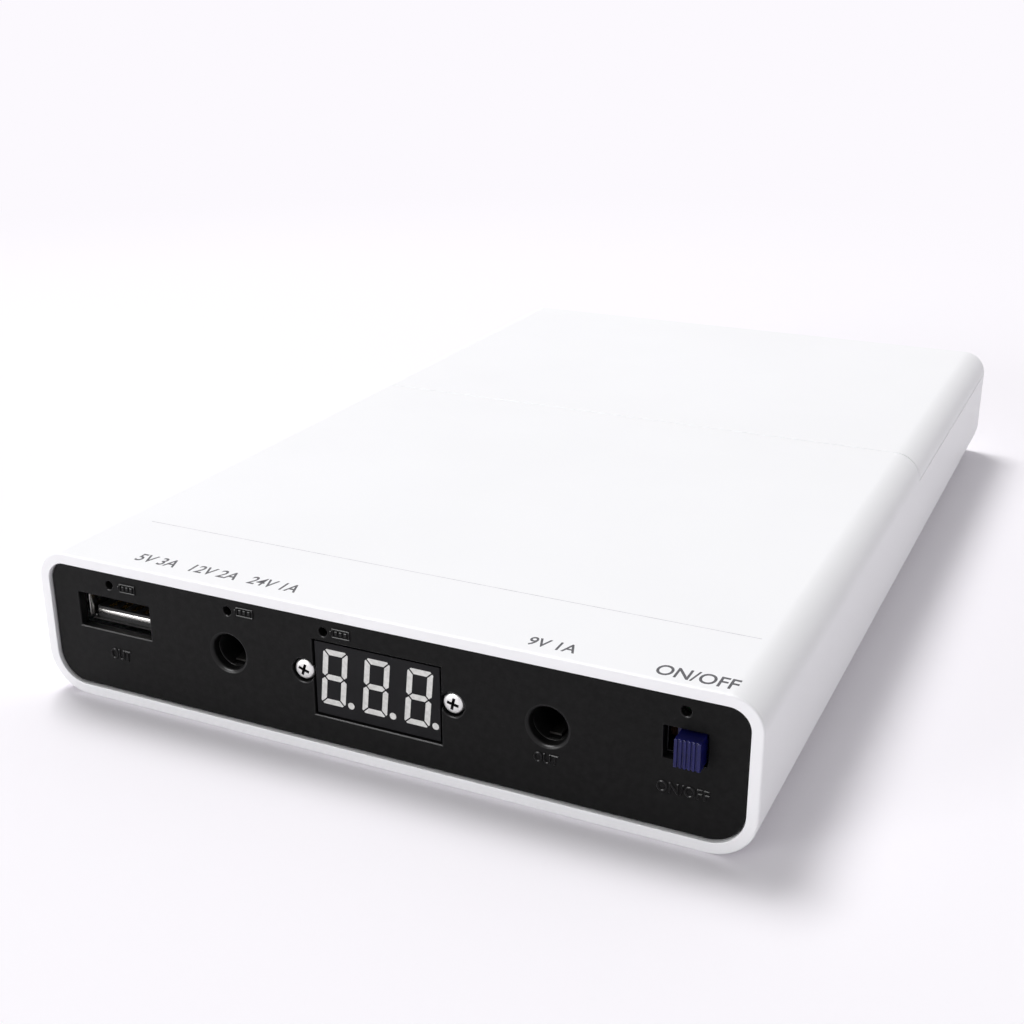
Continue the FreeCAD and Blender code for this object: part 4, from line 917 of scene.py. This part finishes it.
# The sloped faces are the chamfers of the openings
for face in bm.faces:
    if -0.95 < face.normal.y < -0.2:
        face.material_index = 1
plate = make_piece("front_plate_moulding", bm, black_abs, smooth_abs)
round_edges(plate, PLATE_EDGE, 1)
legends = bmesh.new()
for left, low in BATTERY_SIGNS:
    right, high = left + SIGN_WIDTH, low + SIGN_HEIGHT
    slab(legends, (left, low, -RELIEF), (right, low + LINE, RELIEF))
    slab(legends, (left, high - LINE, -RELIEF), (right, high, RELIEF))
    slab(legends, (left, low + LINE, -RELIEF), (left + LINE, high - LINE, RELIEF))
    slab(legends, (right - LINE, low + LINE, -RELIEF), (right, high - LINE, RELIEF))
    slab(legends, (left - CAP_OUT, low + CAP_MARGIN, -RELIEF),
         (left - CAP_IN, high - CAP_MARGIN, RELIEF))
    for bar in range(3):
        start = left + BAR_START + bar * BAR_PITCH
        slab(legends, (start, low + BAR_MARGIN, -RELIEF), (start + BAR_WIDTH, high - BAR_MARGIN, RELIEF))
bevel_some(legends, [e for e in legends.edges if min(v.co.z for v in e.verts) > 0], SIGN_SLOPE, 1)
for text, box in PLATE_WORDS:
    join_in(legends, words(text, box, 2 * RELIEF, LETTER_WEIGHT, LETTER_SLOPE))
bmesh.ops.rotate(legends, cent=(0, 0, 0), matrix=facing("-Y"), verts=legends.verts)
bmesh.ops.translate(legends, vec=(plate_left, plate_front, 0), verts=legends.verts)
fit(plate, "housing", "plate_black", "front_plate")
relief_words = make_piece("plate_legends", legends, smooth_abs)
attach(relief_words, "housing")


# Pad print on the case: dark grey ink, a hundredth of a millimetre thick. It names the switch, gives
# each port's plain voltage and current, and draws one fine rule across the top.
# Each printed shape stands out of the case by INK_PROUD and reaches into it by INK_SINK
INK_SINK = 0.08
INK_PROUD = 0.012
PRINT_WEIGHT = 0.012
RULE_LEFT, RULE_RIGHT = 9.2, 114.3
RULE_BACK = 17.3
RULE_WIDTH = 0.13
# Thin ink lets some white through, so the letters look dark grey and slightly uneven
ink, tree, shader = start_material("dark_grey_pad_ink", "#434347", 0.5)
mottle(tree, shader, 0.6, ("#3A3A3E", "#4F4F53"))
# The rule is printed so thin that it shows as a pale grey line
pale_ink, tree, shader = start_material("pale_grey_pad_ink", "#CBC9CE", 0.5)
mottle(tree, shader, 3.0, ("#BEBCC2", "#D6D4D9"))
case_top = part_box("main_shell")[1][2] / MM
rim_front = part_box("main_shell")[0][1] / MM
# Each legend: its words, and the box it fills: left and right from the case's left edge, and low
# and high from the front rim
CASE_WORDS = [
    ("5V 3A", (17.0, 24.6, 2.95, 5.6)),
    ("12V 2A", (27.4, 36.0, 2.95, 5.55)),
    ("24V 1A", (38.2, 46.9, 2.95, 5.6)),
    ("9V 1A", (85.2, 92.4, 2.15, 4.7)),
    ("ON/OFF", (104.1, 115.4, 1.45, 4.4)),
]
bm = bmesh.new()
for text, box in CASE_WORDS:
    join_in(bm, words(text, box, INK_SINK + INK_PROUD, PRINT_WEIGHT))
bmesh.ops.translate(bm, vec=(plate_left, rim_front, case_top + (INK_PROUD - INK_SINK) / 2),
                    verts=bm.verts)
print_on_case = make_piece("case_print", bm, ink)
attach(print_on_case, "housing")
bm = bmesh.new()
slab(bm, (plate_left + RULE_LEFT, rim_front + RULE_BACK, case_top - INK_SINK),
     (plate_left + RULE_RIGHT, rim_front + RULE_BACK + RULE_WIDTH, case_top + INK_PROUD))
rule = make_piece("case_rule", bm, pale_ink)
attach(rule, "housing")


# Cell holder: a tray of the same black ABS as the display's frame, moulded with six cradles and
# screwed to the floor of the case.
dress("cell_holder", "cell_tray_moulding", holder_abs, "housing", "holder_black", HOLDER_EDGE)


# Cells: six 18650 lithium cells. Each steel can is in blue shrink wrap, which folds over both ends.
# A white ring insulates the pressed button, and the rear end is the bare can.
CELL_RADIUS = 9.2
BUTTON_RADIUS = 3.2
BUTTON_HEIGHT = 1.2
BUTTON_ROUNDING = 0.3
# Where the ring starts and ends, and where the flat fold of the wrap ends
RING_INNER = BUTTON_RADIUS + 0.3
RING_OUTER = CELL_RADIUS - 2.4
WRAP_FLAT = CELL_RADIUS - 0.6
SHOULDER = 0.15
SHOULDER_LENGTH = 0.6
# The ring lies so far behind the end of the can, and the wrap's fold stands so far in front of it
RING_SINK = 0.05
FOLD_PROUD = 0.03
# The rear end: each point's depth below the wrap's side, and how far it lies from the end
REAR_END = [(0, 0.5), (SHOULDER, 0.12), (0.5, 0), (1.0, 0), (1.1, 0.08), (CELL_RADIUS, 0.08)]
# The beading groove under the shoulder, as the can's maker rolled it
GROOVE = ((0, 2.9), (0.3, 3.1), (0.45, 3.4), (0.3, 3.7), (0, 3.9))
# Film that was shrunk with heat: glossy blue with faint ripples along the cell
wrap, tree, shader = start_material("blue_shrink_wrap", "#1F5E96", 0.3, coat_weight=0.2)
grain(tree, shader, 3.0, 0.03, stretch=(1, 0.25, 1))
mottle(tree, shader, 12, ("#1B558A", "#23669F"))
# Deep-drawn, then plated: bright, with scuffed patches
can_steel, tree, shader = start_material("nickel_plated_can_steel", "#BFBEBA", 0.3, metallic=1.0)
grain(tree, shader, 0.6, 0.004)
handle(tree, shader, 2.0, 0.2, 0.42)
# Pressed paper fibre: a dull off-white with a surface like felt
ring_paper, tree, shader = start_material("white_fibre_ring", "#E6E4DC", 0.75)
grain(tree, shader, 0.3, 0.01)
for number in range(1, 7):
    node = "cell_%d" % number
    low, high = corners(node)
    middle = (low + high) / 2
    length = high.y - low.y
    profile = [(0, 0), (BUTTON_RADIUS - 0.35, 0), (BUTTON_RADIUS, BUTTON_ROUNDING),
               (BUTTON_RADIUS, BUTTON_HEIGHT), (RING_INNER, BUTTON_HEIGHT + RING_SINK),
               (RING_OUTER, BUTTON_HEIGHT + RING_SINK), (RING_OUTER + 0.1, BUTTON_HEIGHT - FOLD_PROUD),
               (WRAP_FLAT, BUTTON_HEIGHT - FOLD_PROUD),
               (CELL_RADIUS - SHOULDER, BUTTON_HEIGHT + SHOULDER),
               (CELL_RADIUS, BUTTON_HEIGHT + SHOULDER_LENGTH)]
    profile += [(CELL_RADIUS - depth, along) for depth, along in GROOVE]
    profile += [(CELL_RADIUS - depth, length - drop) for depth, drop in REAR_END]
    # One number for each band: bare can, then the ring, then wrap, then bare can again
    bands = [1] * 4 + [2] * 2 + [0] * 12 + [1] * 2
    bm = bmesh.new()
    turned(bm, profile, (middle.x, low.y, middle.z), axis="Y", steps=48, materials=bands)
    close_up(bm)
    fit(make_piece("lithium_cell_%d" % number, bm, wrap, can_steel, ring_paper),
        "housing", "cell_wrap", node)


# Contacts: nickel strip, rolled and stamped. The front strip has a round boss for each cell's button,
# and the rear strip carries six conical springs of drawn steel wire.
STRIP_EDGE = 0.05
# Rolling lines run along the strip and streak its reflections
nickel, tree, shader = start_material("rolled_nickel_strip", "#BDB9B0", 0.3, metallic=1.0)
grain(tree, shader, 0.5, 0.004, stretch=(0.08, 1, 1))
handle(tree, shader, 4.0, 0.22, 0.42)
dress("positive_strip", "front_contact_strip", nickel, "housing", "strip_nickel", STRIP_EDGE)
dress("negative_strip", "rear_contact_strip", nickel, "housing", "strip_nickel", STRIP_EDGE)
# Wire pulled through a die: clean steel with a slightly patchy shine
wire, tree, shader = start_material("drawn_spring_wire", "#B5B4B0", 0.28, metallic=1.0)
grain(tree, shader, 0.3, 0.002)
handle(tree, shader, 1.0, 0.2, 0.36)
coat(wire, "negative_springs")


# Leads: stranded copper in soft silicone rubber, red from the front strip and black from the rear
# one. Each end is bared, tinned and sunk in a drop of solder.
DROP_PROFILE = [(0, 1.0), (0.5, 0.95), (0.75, 0.6), (1.3, 0.1), (1.35, 0), (0, 0)]
# Silicone rubber is soft and holds dust, so both leads have a low shine and an uneven colour
red_silicone, tree, shader = start_material("red_silicone", "#A81C17", 0.4)
grain(tree, shader, 0.4, 0.006)
mottle(tree, shader, 3.0, ("#9E1914", "#B3201A"))
black_silicone, tree, shader = start_material("black_silicone", "#161616", 0.4)
grain(tree, shader, 0.4, 0.006)
mottle(tree, shader, 3.0, ("#131313", "#1B1B1B"))
coat(red_silicone, "red_lead")
coat(black_silicone, "black_lead")
bm = bmesh.new()
for node in ("red_lead", "black_lead"):
    made = cad_copy(node)
    top = max(vert.co.z for vert in made.verts)
    ends = [vert.co for vert in made.verts if vert.co.z > top - 0.01]
    end = sum(ends, Vector()) / len(ends)
    turned(bm, DROP_PROFILE, (end.x, end.y, top), axis="-Z", steps=20)
    made.free()
close_up(bm)
lead_solder = make_piece("lead_solder", bm, tin)
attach(lead_solder, "housing")


# Battery cover: the same white ABS as the shell. It slides on from the rear, and its tongue goes
# under the roof of the front ring.
dress("battery_cover", "battery_cover_moulding", white_abs, "cover", "cover_white", SHELL_EDGE)
